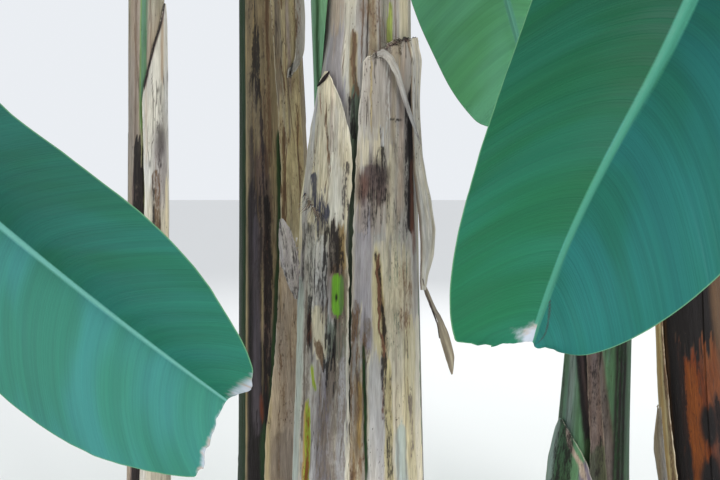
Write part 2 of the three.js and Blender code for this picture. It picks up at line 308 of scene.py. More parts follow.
# Blade: x across it and y along its side veins in metres, z 1 on its under side.
# Zone: x the midrib, y metres in from the margin, z withered.
def leafMaterial(name, look):
    material, tree, shader = newMaterial(name)
    tint, blade = attribute(tree, "tint"), attribute(tree, "blade", "Vector")
    split = tree.nodes.new("ShaderNodeSeparateXYZ")
    tree.links.new(attribute(tree, "zone", "Vector"), split.inputs[0])
    rib, inset, withered = split.outputs
    # Painted sheen: broad random patches of the blade are made lighter and bluer, as the sky reflected on
    # it, and the rest a deeper green.
    sheen = spread(tree, noiseNode(tree, stretched(tree, blade, look["sheenCells"]), 1, 2), 0.36, 0.64)
    # The bands lie along the side veins. Their darker and lighter colours are painted shade and light of
    # the small folds between the veins, and the bands also set roughness and bump.
    bands = spread(tree, noiseNode(tree, stretched(tree, blade, look["bandCells"]), 1, 2), 0.35, 0.65)
    veins = spread(tree, noiseNode(tree, stretched(tree, blade, look["veinCells"]), 1, 1), 0.36, 0.64)
    colours = dyed(tree, tint, mixNode(tree, sheen, look["deep"], look["skySheenTint"]))
    colours = dyed(tree, colours, mixNode(tree, bands, look["band"], look["brightBand"]))
    colours = dyed(tree, colours, mixNode(tree, veins, look["vein"], look["brightVein"]))
    colours = mixNode(tree, spread(tree, rib, 0.35, 0.8), colours, tint)
    atRim = spread(tree, inset, look["rimWidth"] / 3, look["rimWidth"], look["rimStrength"], 0.0)
    colours = mixNode(tree, atRim, colours, look["rim"])
    crumbs = noiseNode(tree, blade, look["crumbCells"], 4)
    dead = spread(tree, plus(tree, withered, times(tree, crumbs, 0.5)), 0.58, 0.92)
    patchy = spread(tree, noiseNode(tree, blade, look["ashCells"], 3), 0.32, 0.54)
    colours = mixNode(tree, dead, colours, mixNode(tree, patchy, look["brown"], look["ash"]))
    tree.links.new(colours, shader.inputs["Base Color"])
    tree.links.new(spread(tree, bands, 0, 1, *look["roughness"]), shader.inputs["Roughness"])
    shader.inputs["Specular IOR Level"].default_value = look["gloss"]
    raised = plus(tree, bands, times(tree, veins, 0.4))
    bumped(tree, shader, times(tree, raised, less(tree, 1.0, rib)), look["relief"])
    return material


leafLook = {
    "sheenCells": (5, 11, 1),  # a metre, across the blade and along its length
    "bandCells": (2.5, 48, 1),
    "veinCells": (4, 300, 1),
    "crumbCells": 110,
    "ashCells": 60,
    # painted sheen: the deeper green and the lighter blue that the sheen runs between
    "deep": (0.86, 0.94, 0.84, 1),
    "skySheenTint": (1.06, 1.05, 1.2, 1),
    # painted shade and light of the folds between the side veins
    "band": (0.94, 0.95, 0.95, 1),
    "brightBand": (1.07, 1.07, 1.05, 1),
    "vein": (0.97, 0.975, 0.975, 1),
    "brightVein": (1.04, 1.05, 1.03, 1),
    "rim": (0.13, 0.3, 0.15, 1),
    "rimStrength": 0.7,
    "rimWidth": 0.0018,
    "brown": (0.42, 0.35, 0.31, 1),
    "ash": (0.42, 0.46, 0.52, 1),
    "roughness": (0.48, 0.58),
    "gloss": 0.15,
    "relief": 0.0004,
}
bladeGreen = leafMaterial("leaf_blade", leafLook)
print("materials made")


# Meshes: a grid is added, its points are put in place, and a closed one is sewn up

def gridPiece(name, points, layers, closed=False):
    rows, columns = points.shape[0] - 1, points.shape[1] - 1
    bpy.ops.object.select_all(action="DESELECT")
    bpy.ops.mesh.primitive_grid_add(x_subdivisions=columns, y_subdivisions=rows, size=1, calc_uvs=False)
    piece = bpy.context.object
    piece.name = name
    piece.data.name = name
    piece.data.vertices.foreach_set("co", points.astype(np.float32).ravel())
    for layer, values in layers.items():
        values = np.broadcast_to(values, points.shape[:2] + values.shape[-1:])
        if layer == "tint":
            values = np.concatenate([values, np.ones(values.shape[:2] + (1,))], axis=2)
        kind, key = ("FLOAT_VECTOR", "vector") if values.shape[-1] == 3 else ("FLOAT_COLOR", "color")
        stored = piece.data.attributes.new(layer, kind, "POINT")
        stored.data.foreach_set(key, values.astype(np.float32).ravel())
    piece.data.update()
    if closed:
        bpy.ops.object.mode_set(mode="EDIT")
        bpy.ops.mesh.select_all(action="SELECT")
        bpy.ops.mesh.remove_doubles(threshold=1e-6)
        bpy.ops.mesh.select_all(action="SELECT")
        bpy.ops.mesh.fill_holes(sides=0)
        bpy.ops.object.mode_set(mode="OBJECT")
    return piece


def thicken(piece, thickness):
    solid = piece.modifiers.new("thickness", "SOLIDIFY")
    solid.thickness = thickness
    solid.offset = -1
    bpy.ops.object.modifier_apply(modifier=solid.name)


def finishPiece(piece, material, slotName, nodes=(), sharp=40):
    piece.data.materials.append(material)
    bpy.ops.object.shade_smooth_by_angle(angle=math.radians(sharp))
    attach(piece, "root")
    if nodes:
        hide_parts(*nodes)


# Stems

stemTaper = 1.55
flareHeight = 0.09
stems = {
    "main": {"foot": (0, 0), "lean": (0.012, 0.008), "bow": (0, 0), "height": 2.6,
             "footRadius": 0.134, "throatRadius": 0.058, "flare": 0.026},
    "rear": {"foot": (-0.16, 0.3), "lean": (-0.023, 0.03), "bow": (0, 0), "height": 2.28,
             "footRadius": 0.108, "throatRadius": 0.05, "flare": 0.022},
    "slim": {"foot": (-0.436, 0.2), "lean": (0.012, 0), "bow": (0, 0), "height": 1.82,
             "footRadius": 0.047, "throatRadius": 0.034, "flare": 0.02},
    "right": {"foot": (0.533, 0.5), "lean": (0.045, 0.02), "bow": (0, 0), "height": 2.0,
              "footRadius": 0.098, "throatRadius": 0.046, "flare": 0.024},
    "far_right": {"foot": (0.812, 0.3), "lean": (-0.06, 0), "bow": (-0.07, 0), "height": 1.7,
                  "footRadius": 0.112, "throatRadius": 0.044, "flare": 0.022},
    "sucker": {"foot": (-1.02, -0.12), "lean": (0, 0), "bow": (0, 0), "height": 0.8,
               "footRadius": 0.046, "throatRadius": 0.028, "flare": 0.016},
}


def stemAxis(stem, height):
    share = height / stem["height"]
    aside = 4 * share * (1 - share)
    return [stem["foot"][k] + stem["lean"][k] * height + stem["bow"][k] * aside for k in (0, 1)]


def stemRadius(stem, height):
    left = 1 - np.clip(height / stem["height"], 0, 1)
    body = stem["throatRadius"] + (stem["footRadius"] - stem["throatRadius"]) * left**stemTaper
    return body + stem["flare"] * np.exp(-height / flareHeight)


def onStem(stem, height, azimuth, offset):
    reach = stemRadius(stem, height) + offset
    turn = np.radians(azimuth)
    x, y = stemAxis(stem, height)
    return np.stack([x + reach * np.cos(turn), y + reach * np.sin(turn), height + 0 * turn], axis=-1)


# Where a point's fibres lie in the grain: round the stem as it is, and squeezed along it.
def grainOf(stem, height, azimuth):
    turn = np.radians(azimuth)
    reach = stemRadius(stem, height)
    return np.stack([reach * np.cos(turn), reach * np.sin(turn), height * 0.05 + 0 * turn], axis=-1)


patchLook = {
    "soft": 0.8,  # degrees over which its sides fade
    "ragged": 0.03,  # how far its ends run out along the fibres
    "fade": 0.006,  # how far its ends fade
    "wander": 1,  # degrees by which its middle sways
    "round": 16,  # the lower it is, the sooner the ends narrow
    "strength": 1,  # how much of its hue covers what lies below
    "rot": 0,  # above 0 it is tissue that has died, in broken fibres
    "clean": 0,  # how much dead tissue it covers
    "depth": 0,  # how far it stands out, or below 0 how far it is sunk
    "rough": 0,  # height of coarse fibres on it
}


# A patch lies between two heights. Its middle goes through the given azimuths from its bottom
# to its top, and half is half its width in degrees.
def patch(azimuths, half, low, high, hue, **more):
    azimuths = azimuths if isinstance(azimuths, tuple) else (azimuths, azimuths)
    return {**patchLook, "azimuths": azimuths, "half": half, "low": low, "high": high, "hue": hue, **more}


def patchMask(spot, azimuth, height, number):
    low, high = spot["low"], spot["high"]
    share = np.clip((height - low) / (high - low), 0, 1)
    knots = np.linspace(0, 1, len(spot["azimuths"]))
    middle = np.interp(share, knots, spot["azimuths"])
    sway = softNoise(height * 22, number * 3.7, number)
    sway = sway + 0.5 * softNoise(height * 80, number * 2.3, number + 3)
    middle = middle + spot["wander"] * sway
    away = np.abs((azimuth - middle + 180) % 360 - 180)
    soft, fade = spot["soft"], spot["fade"]
    half = spot["half"] * np.sqrt(np.maximum(1 - np.abs(2 * share - 1) ** spot["round"], 0.02))
    mask = 1 - eased(away, half - soft, half + soft)
    ragged = height + spot["ragged"] * fibreNoise(azimuth * 2, height * 0.3, number)
    return mask * eased(ragged, low - fade, low + fade) * (1 - eased(ragged, high - fade, high + fade))


# The patches' tint, dead tissue and relief on a surface, each patch over those before it
def paint(azimuth, height, base, spots):
    azimuth, height = np.broadcast_arrays(azimuth, height)
    tint = np.broadcast_to(base, azimuth.shape + (3,)).copy()
    rot = np.zeros(azimuth.shape + (4,))
    relief = np.zeros(azimuth.shape)
    for number, spot in enumerate(spots):
        mask = patchMask(spot, azimuth, height, number)
        hue = hues[spot["hue"]]
        if spot["rot"]:
            rot[..., :3] += (hue - rot[..., :3]) * eased(mask, 0, 0.15)[..., None]
            rot[..., 3] = np.maximum(rot[..., 3], mask * spot["rot"])
        else:
            tint += (hue - tint) * (mask * spot["strength"])[..., None]
            rot[..., 3] *= 1 - mask * spot["clean"]
        relief += mask * spot["depth"]
        if spot["rough"]:
            relief += mask * spot["rough"] * fibreNoise(azimuth, height * 1.5, number + 1)
    return tint, rot, relief


palette = {  # screen values from 0 to 255
    "cream": (214, 206, 182), "paleCream": (218, 213, 197), "beige": (184, 175, 152),
    "greyBeige": (176, 172, 166), "mauveGrey": (166, 162, 168), "weathered": (186, 184, 182),
    "bone": (208, 207, 203), "sand": (196, 180, 142), "paleBlue": (172, 186, 182),
    "pinkish": (184, 168, 153), "tan": (172, 156, 120), "ochre": (174, 146, 94),
    "yellow": (208, 197, 154), "brown": (112, 86, 64), "redBrown": (112, 72, 56),
    "mauveBrown": (100, 80, 80), "greyBrown": (122, 110, 100), "khaki": (152, 136, 106),
    "char": (33, 28, 29), "soot": (58, 50, 52), "inkBlue": (58, 60, 80),
    "purple": (122, 114, 128), "moss": (92, 106, 88), "deepGreen": (36, 70, 36),
    "stemGreen": (48, 70, 40), "shadeGreen": (28, 54, 24), "liveGreen": (100, 144, 108),
    "paleGreen": (112, 148, 124), "lime": (116, 172, 52), "yellowGreen": (150, 170, 60),
    "orange": (156, 84, 30), "rust": (130, 62, 30), "petiole": (118, 158, 88),
}
hues = {name: colour(*values) for name, values in palette.items()}


def heightRows(stem, dense, fine, coarse):
    low, high = dense
    parts = [np.arange(0, low, coarse), np.arange(low, high, fine), np.arange(high, stem["height"], coarse)]
    return np.append(np.concatenate(parts), stem["height"])


# Random streaks that start between two azimuths and two heights. Each is some degrees wide and
# some way tall, a share of them are rotten, and they stand out or are sunk by up to deep.
def streaks(seed, count, azimuths, heights, hueNames, wide=(1.2, 9), tall=(0.08, 0.6),
            rotten=0.45, deep=0.0012):
    dice = np.random.default_rng(seed)
    spots = []
    for _ in range(count):
        low = dice.uniform(*heights)
        middle = dice.uniform(*azimuths)
        half = dice.uniform(*wide)
        more = {"soft": min(dice.uniform(0.6, 2.5), half), "ragged": 0.3 * tall[0] + 0.04,
                "depth": dice.uniform(-deep, deep), "round": dice.uniform(2, 16)}
        if dice.random() < rotten:
            more["rot"] = dice.uniform(0.45, 1)
        else:
            more["strength"] = dice.uniform(0.4, 0.9)
        route = (middle, middle + dice.uniform(-8, 8) * min(1, 3 * tall[1]))
        hue = hueNames[dice.integers(len(hueNames))]
        spots.append(patch(route, half / 2, low, low + dice.uniform(*tall), hue, **more))
    return spots


stemLook = {
    "overlaps": 3,  # round the stem, each stepping in by a share of the radius
    "step": 0.05,
    "climb": 40,  # degrees that the steps go round in a metre
    "inset": 0.0008,
    # painted shade: below 1 it darkens all of a stem's colours, as the stem stands in shade
    "shade": 1,
    "slimmer": 0,
    "slimmerFrom": (1.12, 1.19),  # heights between which a slimmer stretch starts, and ends
    "slimmerTo": (1.5, 2.2),
}


# The wrapped sheaths step in where each one ends over the next, and the steps climb round.
def stemSkin(name, plan):
    stem, plan = stems[name], {**stemLook, **plan}
    heights = heightRows(stem, plan["dense"], plan["fine"], plan["coarse"])[:, None]
    around = np.linspace(0, 360, plan["columns"] + 1)[None, :]
    azimuth = around + plan["climb"] * heights
    radius = stemRadius(stem, heights)
    stepIn = -plan["step"] * ((around * plan["overlaps"] / 360) % 1) * radius
    stepIn[:, -1] = 0
    wrapped = (azimuth + 180) % 360 - 180
    live = eased(heights, plan["greenFrom"] * stem["height"], stem["height"])
    base = blend(hues[plan["base"]], hues["petiole"], live[..., None] * np.ones(around.shape + (1,)))
    tint, rot, relief = paint(wrapped, heights, base, plan["patches"])
    # Painted shade: the tint and the dead colour are darkened by the stem's shade.
    tint *= plan["shade"]
    rot[..., :3] *= plan["shade"]
    relief = relief + plan["folds"] * softNoise((wrapped + 180) / 15, heights * 2.5, 4, 24)
    relief = relief + 0.0005 * fibreNoise(wrapped, heights, 1)
    slimmer = plan["slimmer"] * eased(heights, *plan["slimmerFrom"])
    slimmer = slimmer * (1 - eased(heights, *plan["slimmerTo"]))
    relief[:, -1] = relief[:, 0]
    points = onStem(stem, heights, azimuth, stepIn + relief - slimmer - plan["inset"])
    points[:, -1] = points[:, 0]
    layers = {"tint": tint, "rot": rot, "grain": grainOf(stem, heights, azimuth)}
    piece = gridPiece(f"{name}_pseudostem", points, layers, closed=True)
    finishPiece(piece, liveSheath, "stem", [f"{name}_stem"])


# A shade below 1 is painted shade on that stem.
stemPlans = {
    "main": {
        "dense": (0.33, 1.32), "fine": 0.005, "coarse": 0.024, "columns": 330,
        "base": "greyBeige", "greenFrom": 0.5, "folds": 0.0012, "slimmer": 0.007, "shade": 0.75,
        "weathers": ("tan", "brown", "greyBrown", "cream", "mauveGrey", "liveGreen"),
        "patches": [
            patch((-176, -168), 10, 1.02, 2.0, "liveGreen", soft=1),
            # Painted shade: a thin dark line on the stem where the live strip meets it.
            patch((-160, -150), 2, 1.04, 1.8, "greyBrown", soft=1.5, strength=0.5),
            patch((-138, -130), 17, 0.98, 1.21, "mauveGrey", soft=3, ragged=0.05),
            patch((-138, -130), 15, 1.18, 1.8, "pinkish", soft=3, ragged=0.1, strength=0.7),
            patch((-114, -118), 8, 1.08, 1.7, "paleCream", soft=3, ragged=0.08),
            patch((-120, -121), 0.5, 1.1, 1.16, "brown", depth=-0.0012, soft=0.4, wander=1.5),
            patch((-106, -108), 5, 1.06, 1.19, "tan", soft=1.5, ragged=0.05),
            patch((-103, -106, -111), 1.2, 1.07, 1.2, "redBrown", rot=1, depth=-0.001,
                  wander=2.5),
            patch((-103, -107, -110), 3.2, 1.07, 1.19, "brown", rot=0.75, soft=1.5, wander=2),
            patch((-98, -94), 0.8, 1.13, 1.5, "brown", depth=-0.002, soft=0.5),
            patch((-101, -104), 6, 0.4, 1.1, "moss", depth=-0.003),
            patch((-104, -110), 4, 1.0, 1.09, "char", rot=0.85, soft=1.5),
            patch(-91, 0.9, 1.1, 1.9, "char", depth=-0.003, soft=0.6),
            patch((-84, -86), 5, 1.1, 1.6, "tan", soft=2, strength=0.7, ragged=0.1),
            patch((-75, -77), 0.9, 1.1, 1.7, "greyBrown", depth=-0.002, soft=0.5),
            patch((-70, -71), 4, 1.1, 1.5, "moss", soft=2, strength=0.4, ragged=0.1),
            patch((-62, -63), 4.5, 1.1, 1.24, "yellowGreen", ragged=0.06, soft=1.5, strength=0.85),
            patch((-53, -54), 1.2, 1.1, 1.6, "brown", depth=-0.0015, soft=0.6, strength=0.6),
            patch(-38, 9, 1.1, 1.8, "cream", soft=3),
            patch(-28, 1.2, 1.1, 1.5, "paleCream", depth=0.0015),
            patch(-80, 24, 1.14, 1.6, "brown", rot=0.42, soft=4, ragged=0.2),
        ],
    },
    "rear": {
        "dense": (0.25, 1.4), "fine": 0.0065, "coarse": 0.03, "columns": 230,
        "base": "khaki", "greenFrom": 0.55, "folds": 0.0012, "shade": 0.9,
        "weathers": ("tan", "brown", "char", "deepGreen", "greyBrown"),
        "patches": [
            # Painted shade: the rear stem's left strip is a very dark green, as it lies in shade.
            patch((-160, -156), 19, 0.2, 2.0, "shadeGreen", soft=2),
            patch((-140, -137), 1.8, 0.3, 1.3, "tan", soft=1),
            patch((-108, -106), 14, 0.5, 1.0, "mauveBrown", soft=4, ragged=0.16, strength=0.8),
            *streaks(61, 50, (-136, -86), (0.6, 1.5), ("brown", "tan", "greyBrown", "soot", "ochre"),
                     (1, 4.5), (0.05, 0.26), 0.5),
            patch(-112, 27, 0.62, 1.7, "soot", rot=0.42, soft=6, ragged=0.25),
            patch((-116, -114), 10, 1.08, 1.26, "char", rot=0.85, soft=6, ragged=0.12, round=2.5),
            patch((-92, -90), 4, 0.94, 1.6, "brown", rot=0.8, soft=3, ragged=0.12),
            patch((-126, -124), 12, 0.2, 0.93, "char", soft=4, ragged=0.12),
            patch((-126, -124), 7, 0.7, 1.04, "soot", soft=4, ragged=0.14, strength=0.7),
            patch((-103, -98), 6, 0.5, 0.9, "char", rot=0.8, soft=2, ragged=0.08),
            patch((-104, -91, -79, -75), 5, 0.36, 1.04, "stemGreen", soft=1.6, depth=-0.001),
            patch((-97, -84, -73, -70), 1.2, 0.36, 1.04, "soot", soft=1, depth=-0.002),
            patch(-114, 14, -0.1, 0.6, "char", soft=4, ragged=0.12),
            patch((-121, -118), 6, 0.4, 0.86, "purple", soft=4, ragged=0.14, strength=0.4),
            patch((-104, -100), 2, 0.5, 0.84, "redBrown", soft=1.4, ragged=0.08, strength=0.7),
            patch((-110, -108), 1, 0.5, 0.9, "tan", ragged=0.08, strength=0.5),
            patch((-111, -112), 2.6, 0.43, 0.49, "rust", soft=2.2, ragged=0.02, strength=0.6, round=2),
            patch((-108, -110), 5, 0.2, 0.43, "deepGreen", soft=2.5, strength=0.7),
        ],
    },
    "slim": {
        "dense": (0.3, 1.35), "fine": 0.007, "coarse": 0.03, "columns": 120,
        "base": "pinkish", "greenFrom": 0.6, "folds": 0.0007, "shade": 0.84,
        "weathers": ("tan", "brown", "char", "liveGreen", "cream"),
        "patches": [
            patch(-116, 24, 0.95, 1.9, "pinkish", soft=3),
            patch((-103, -125), 2, 1.1, 1.25, "brown", soft=1, strength=0.6),
            patch(-110, 12, 1.0, 1.6, "brown", rot=0.4, soft=4, ragged=0.15),
            patch((-92, -84, -82), 12, 1.02, 1.9, "liveGreen", soft=2, ragged=0.05),
            patch((-93, -85, -83), 4, 1.08, 1.9, "paleGreen", soft=4, strength=0.6),
            patch((-102, -94, -92), 1.6, 0.98, 1.9, "yellowGreen", soft=1.2, strength=0.5),
            patch((-82, -74, -72), 1.2, 1.02, 1.9, "greyBrown", soft=1, strength=0.7),
            patch(-66, 1.5, 1.15, 1.9, "brown", soft=1.2, strength=0.8),
            patch((-94, -95), 3, 0.9, 1.1, "yellowGreen", soft=1.5, strength=0.5),
            patch((-118, -114), 4, 0.98, 1.3, "brown", soft=3, strength=0.5, ragged=0.1),
            patch((-112, -108), 25, 0.2, 0.97, "mauveBrown", soft=4, ragged=0.12, strength=0.8),
            patch((-112, -106), 19, 0.2, 1.02, "char", rot=1.05, soft=4, ragged=0.14),
            patch((-88, -87), 1.6, 0.86, 1.02, "yellowGreen", strength=0.6),
        ],
    },
    "right": {
        "dense": (0.1, 0.75), "fine": 0.007, "coarse": 0.03, "columns": 180,
        "base": "liveGreen", "greenFrom": 0.6, "folds": 0.001, "shade": 0.7,
        "weathers": ("greyBrown", "brown", "char", "deepGreen", "tan"),
        "patches": [
            # Down the left side the stem is paler green, and the bluish strip on it is a painted highlight.
            patch((-146, -156), 14, 0.1, 1.2, "paleGreen", soft=3),
            patch((-148, -158), 7, 0.3, 0.8, "paleBlue", soft=4, strength=0.55, ragged=0.08),
            *streaks(62, 18, (-170, -60), (0.15, 0.7), ("deepGreen", "paleGreen", "moss"), (1, 4),
                     (0.06, 0.3), 0.2),
            patch((-55, -155), 13, 0.1, 0.9, "greyBrown", soft=3, ragged=0.05),
            patch((-66, -142), 7, 0.2, 0.8, "mauveGrey", soft=4, ragged=0.1, strength=0.3),
            patch((-86, -165), 13, 0.2, 0.75, "char", soft=3, ragged=0.06),
            patch((-92, -160), 3, 0.26, 0.7, "mauveBrown", soft=2.5, ragged=0.1, strength=0.6),
            patch((-66, -142), 12, 0.2, 0.8, "char", rot=0.42, soft=4, ragged=0.1),
            patch((-59, -61), 13, -0.1, 0.9, "soot", soft=4, ragged=0.1),
            patch((-59, -61), 13, -0.1, 0.9, "deepGreen", rot=0.5, soft=4, ragged=0.1),
            patch((-66, -67), 1.6, 0.1, 0.9, "liveGreen", soft=1.2, ragged=0.1, strength=0.7),
            patch((-56, -57), 1.4, 0.2, 0.9, "paleGreen", soft=1, ragged=0.1, strength=0.5),
            patch((-47, -48), 1.4, 0.1, 0.9, "paleGreen", soft=1, ragged=0.1, strength=0.6),
            patch(-107, 10, 0.1, 0.35, "stemGreen", soft=1.5, ragged=0.02),
            patch(-100, 3, 0.1, 0.34, "deepGreen", soft=2, ragged=0.05),
        ],
    },
    "far_right": {
        "dense": (0.1, 0.8), "fine": 0.007, "coarse": 0.03, "columns": 190,
        "base": "brown", "greenFrom": 0.6, "folds": 0.0016, "shade": 0.62,
        "weathers": ("char", "orange", "ochre", "brown", "tan"),
        "patches": [
            patch(-112, 34, 0.1, 0.62, "redBrown", soft=8, ragged=0.1),
            patch((-122, -119), 20, 0.1, 0.59, "rust", soft=9, ragged=0.08, round=5),
            patch((-124, -121), 13, 0.1, 0.56, "orange", soft=9, ragged=0.06, round=4),
            patch((-88, -90), 12, 0.46, 0.62, "orange", soft=6, ragged=0.08, strength=0.5),
            patch((-150, -148), 9, -0.1, 1.0, "char", soft=4, ragged=0.05),
            patch(-114, 34, 0.56, 1.1, "char", soft=6, ragged=0.12),
            patch((-118, -116), 30, 0.1, 0.6, "char", rot=0.36, soft=8, ragged=0.14),
            patch((-140, -136), 8, 0.2, 0.6, "char", rot=0.85, soft=5, ragged=0.08),
            patch((-150, -146), 7, 0.44, 0.54, "char", soft=4, round=2),
            patch((-104, -101), 12, 0.385, 0.475, "char", soft=5, round=2),
            patch((-112, -106), 16, 0.2, 0.37, "char", soft=6, ragged=0.05, round=2),
            patch((-136, -133), 4, 0.3, 0.4, "char", soft=3, ragged=0.05, round=2),
            patch(-84, 9, -0.1, 0.5, "char", rot=0.95, soft=4, ragged=0.1),
        ],
    },
    "sucker": {
        "dense": (0.0, 0.1), "fine": 0.012, "coarse": 0.012, "columns": 90,
        "base": "liveGreen", "greenFrom": 0.4, "folds": 0.0006,
        "weathers": ("brown", "tan", "deepGreen"), "patches": [],
    },
}
# The sides that face away from the viewer, and all above the patches, have random streaks.
weatherStreaks = 46
seenFrom, seenTo, seenTop = -165, -20, 1.3
for number, (name, plan) in enumerate(stemPlans.items()):
    reach = stems[name]["height"] * np.array([-0.1, 0.85])
    spots = streaks(20 + number, weatherStreaks, (-180, 180), reach, plan["weathers"], (2.4, 18))
    if plan["patches"]:
        spots = [s for s in spots if not seenFrom < s["azimuths"][0] < seenTo or s["low"] > seenTop]
    plan["patches"] = spots + plan["patches"]
    stemSkin(name, plan)
    print("stem done:", name)


# Loose dry sheaths

shellLook = {
    "nodes": [],
    "finish": (drySheath, "dry_sheath"),
    "thickness": 0.0022,
    "sheet": 2,  # which noise it has
    "nibble": 0.9,  # degrees by which its side edges are uneven
    "tear": (0.012, 0.004),  # how deep its top and its foot are torn
    "folds": 0.001,
    "lift": [(0, 0.004, 0.004, 0.004)],
    "curl": 0.0022,  # how far its edges curl off the stem
    "paleEdge": 0.5,
    "burntTop": 0,
    "burntBand": (0.022, 0.004),  # from how far below its top it darkens, and is dark
}


# A shell that follows its stem. Its outline lists a height, the azimuth of its left edge and
# that of its right edge, from the bottom up, and lift lists how far the left edge, the middle
# and the right edge stand off the stem at given heights.
def sheathShell(spec):
    spec = {**shellLook, **spec}
    stem = stems[spec["stem"]]
    outline = np.array(spec["outline"], float)
    low, high = outline[0, 0], outline[-1, 0]
    t = np.linspace(0, 1, spec["rows"] + 1)[:, None]
    s = np.linspace(0, 1, spec["columns"] + 1)[None, :]
    flat = blend(low, high, t)
    sheet, nibble = spec["sheet"], spec["nibble"]
    left = np.interp(flat, outline[:, 0], outline[:, 1]) + nibble * softNoise(flat * 90, 2.5, sheet)
    right = np.interp(flat, outline[:, 0], outline[:, 2]) + nibble * softNoise(flat * 90, 9.5, sheet)
    azimuth = blend(left, right, s)
    tornTop, tornFoot = spec["tear"]
    ends = 0.5 + 0.5 * softNoise(azimuth * 0.55, 3.5, sheet)
    ends = ends + 0.35 * softNoise(azimuth * 1.7, 6.5, sheet + 1)
    height = flat - tornTop * ends * t**14 + tornFoot * ends * (1 - t) ** 14
    tint, rot, relief = paint(azimuth, height, hues[spec["base"]], spec["patches"])
    relief = relief + spec["folds"] * softNoise((azimuth + 180) / 13, height * 3, sheet + 3)
    relief = relief + 0.0005 * fibreNoise(azimuth, height, sheet)
    lifts = np.array(spec["lift"], float)
    atLeft, atMiddle, atRight = (np.interp(height, lifts[:, 0], lifts[:, k]) for k in (1, 2, 3))
    lift = atMiddle + (atLeft - atMiddle) * np.clip(1 - 2 * s, 0, 1) ** 1.5
    lift = lift + (atRight - atMiddle) * np.clip(2 * s - 1, 0, 1) ** 1.5
    edge = np.minimum(s, 1 - s) * (right - left)  # degrees in from the nearer side
    loose = 0.5 + 0.5 * softNoise(flat * 14, s * 3, sheet + 2)
    curl = spec["curl"] * (1 - eased(edge, 0, 3.5)) * loose
    points = onStem(stem, height, azimuth, lift + curl + relief)
    pale = spec["paleEdge"] * (1 - eased(edge, 0.2, 1.5))
    tint = tint + (hues["paleCream"] - tint) * pale[..., None]
    burnt = spec["burntTop"] * eased(height, high - spec["burntBand"][0], high - spec["burntBand"][1])
    rot[..., 3] = np.maximum(rot[..., 3], burnt)
    rot[..., :3] += (hues["char"] - rot[..., :3]) * eased(burnt, 0, 0.2)[..., None]
    layers = {"tint": tint, "rot": rot, "grain": grainOf(stem, height, azimuth)}
    piece = gridPiece(spec["name"], points, layers)
    thicken(piece, spec["thickness"])
    finishPiece(piece, *spec["finish"], spec["nodes"])


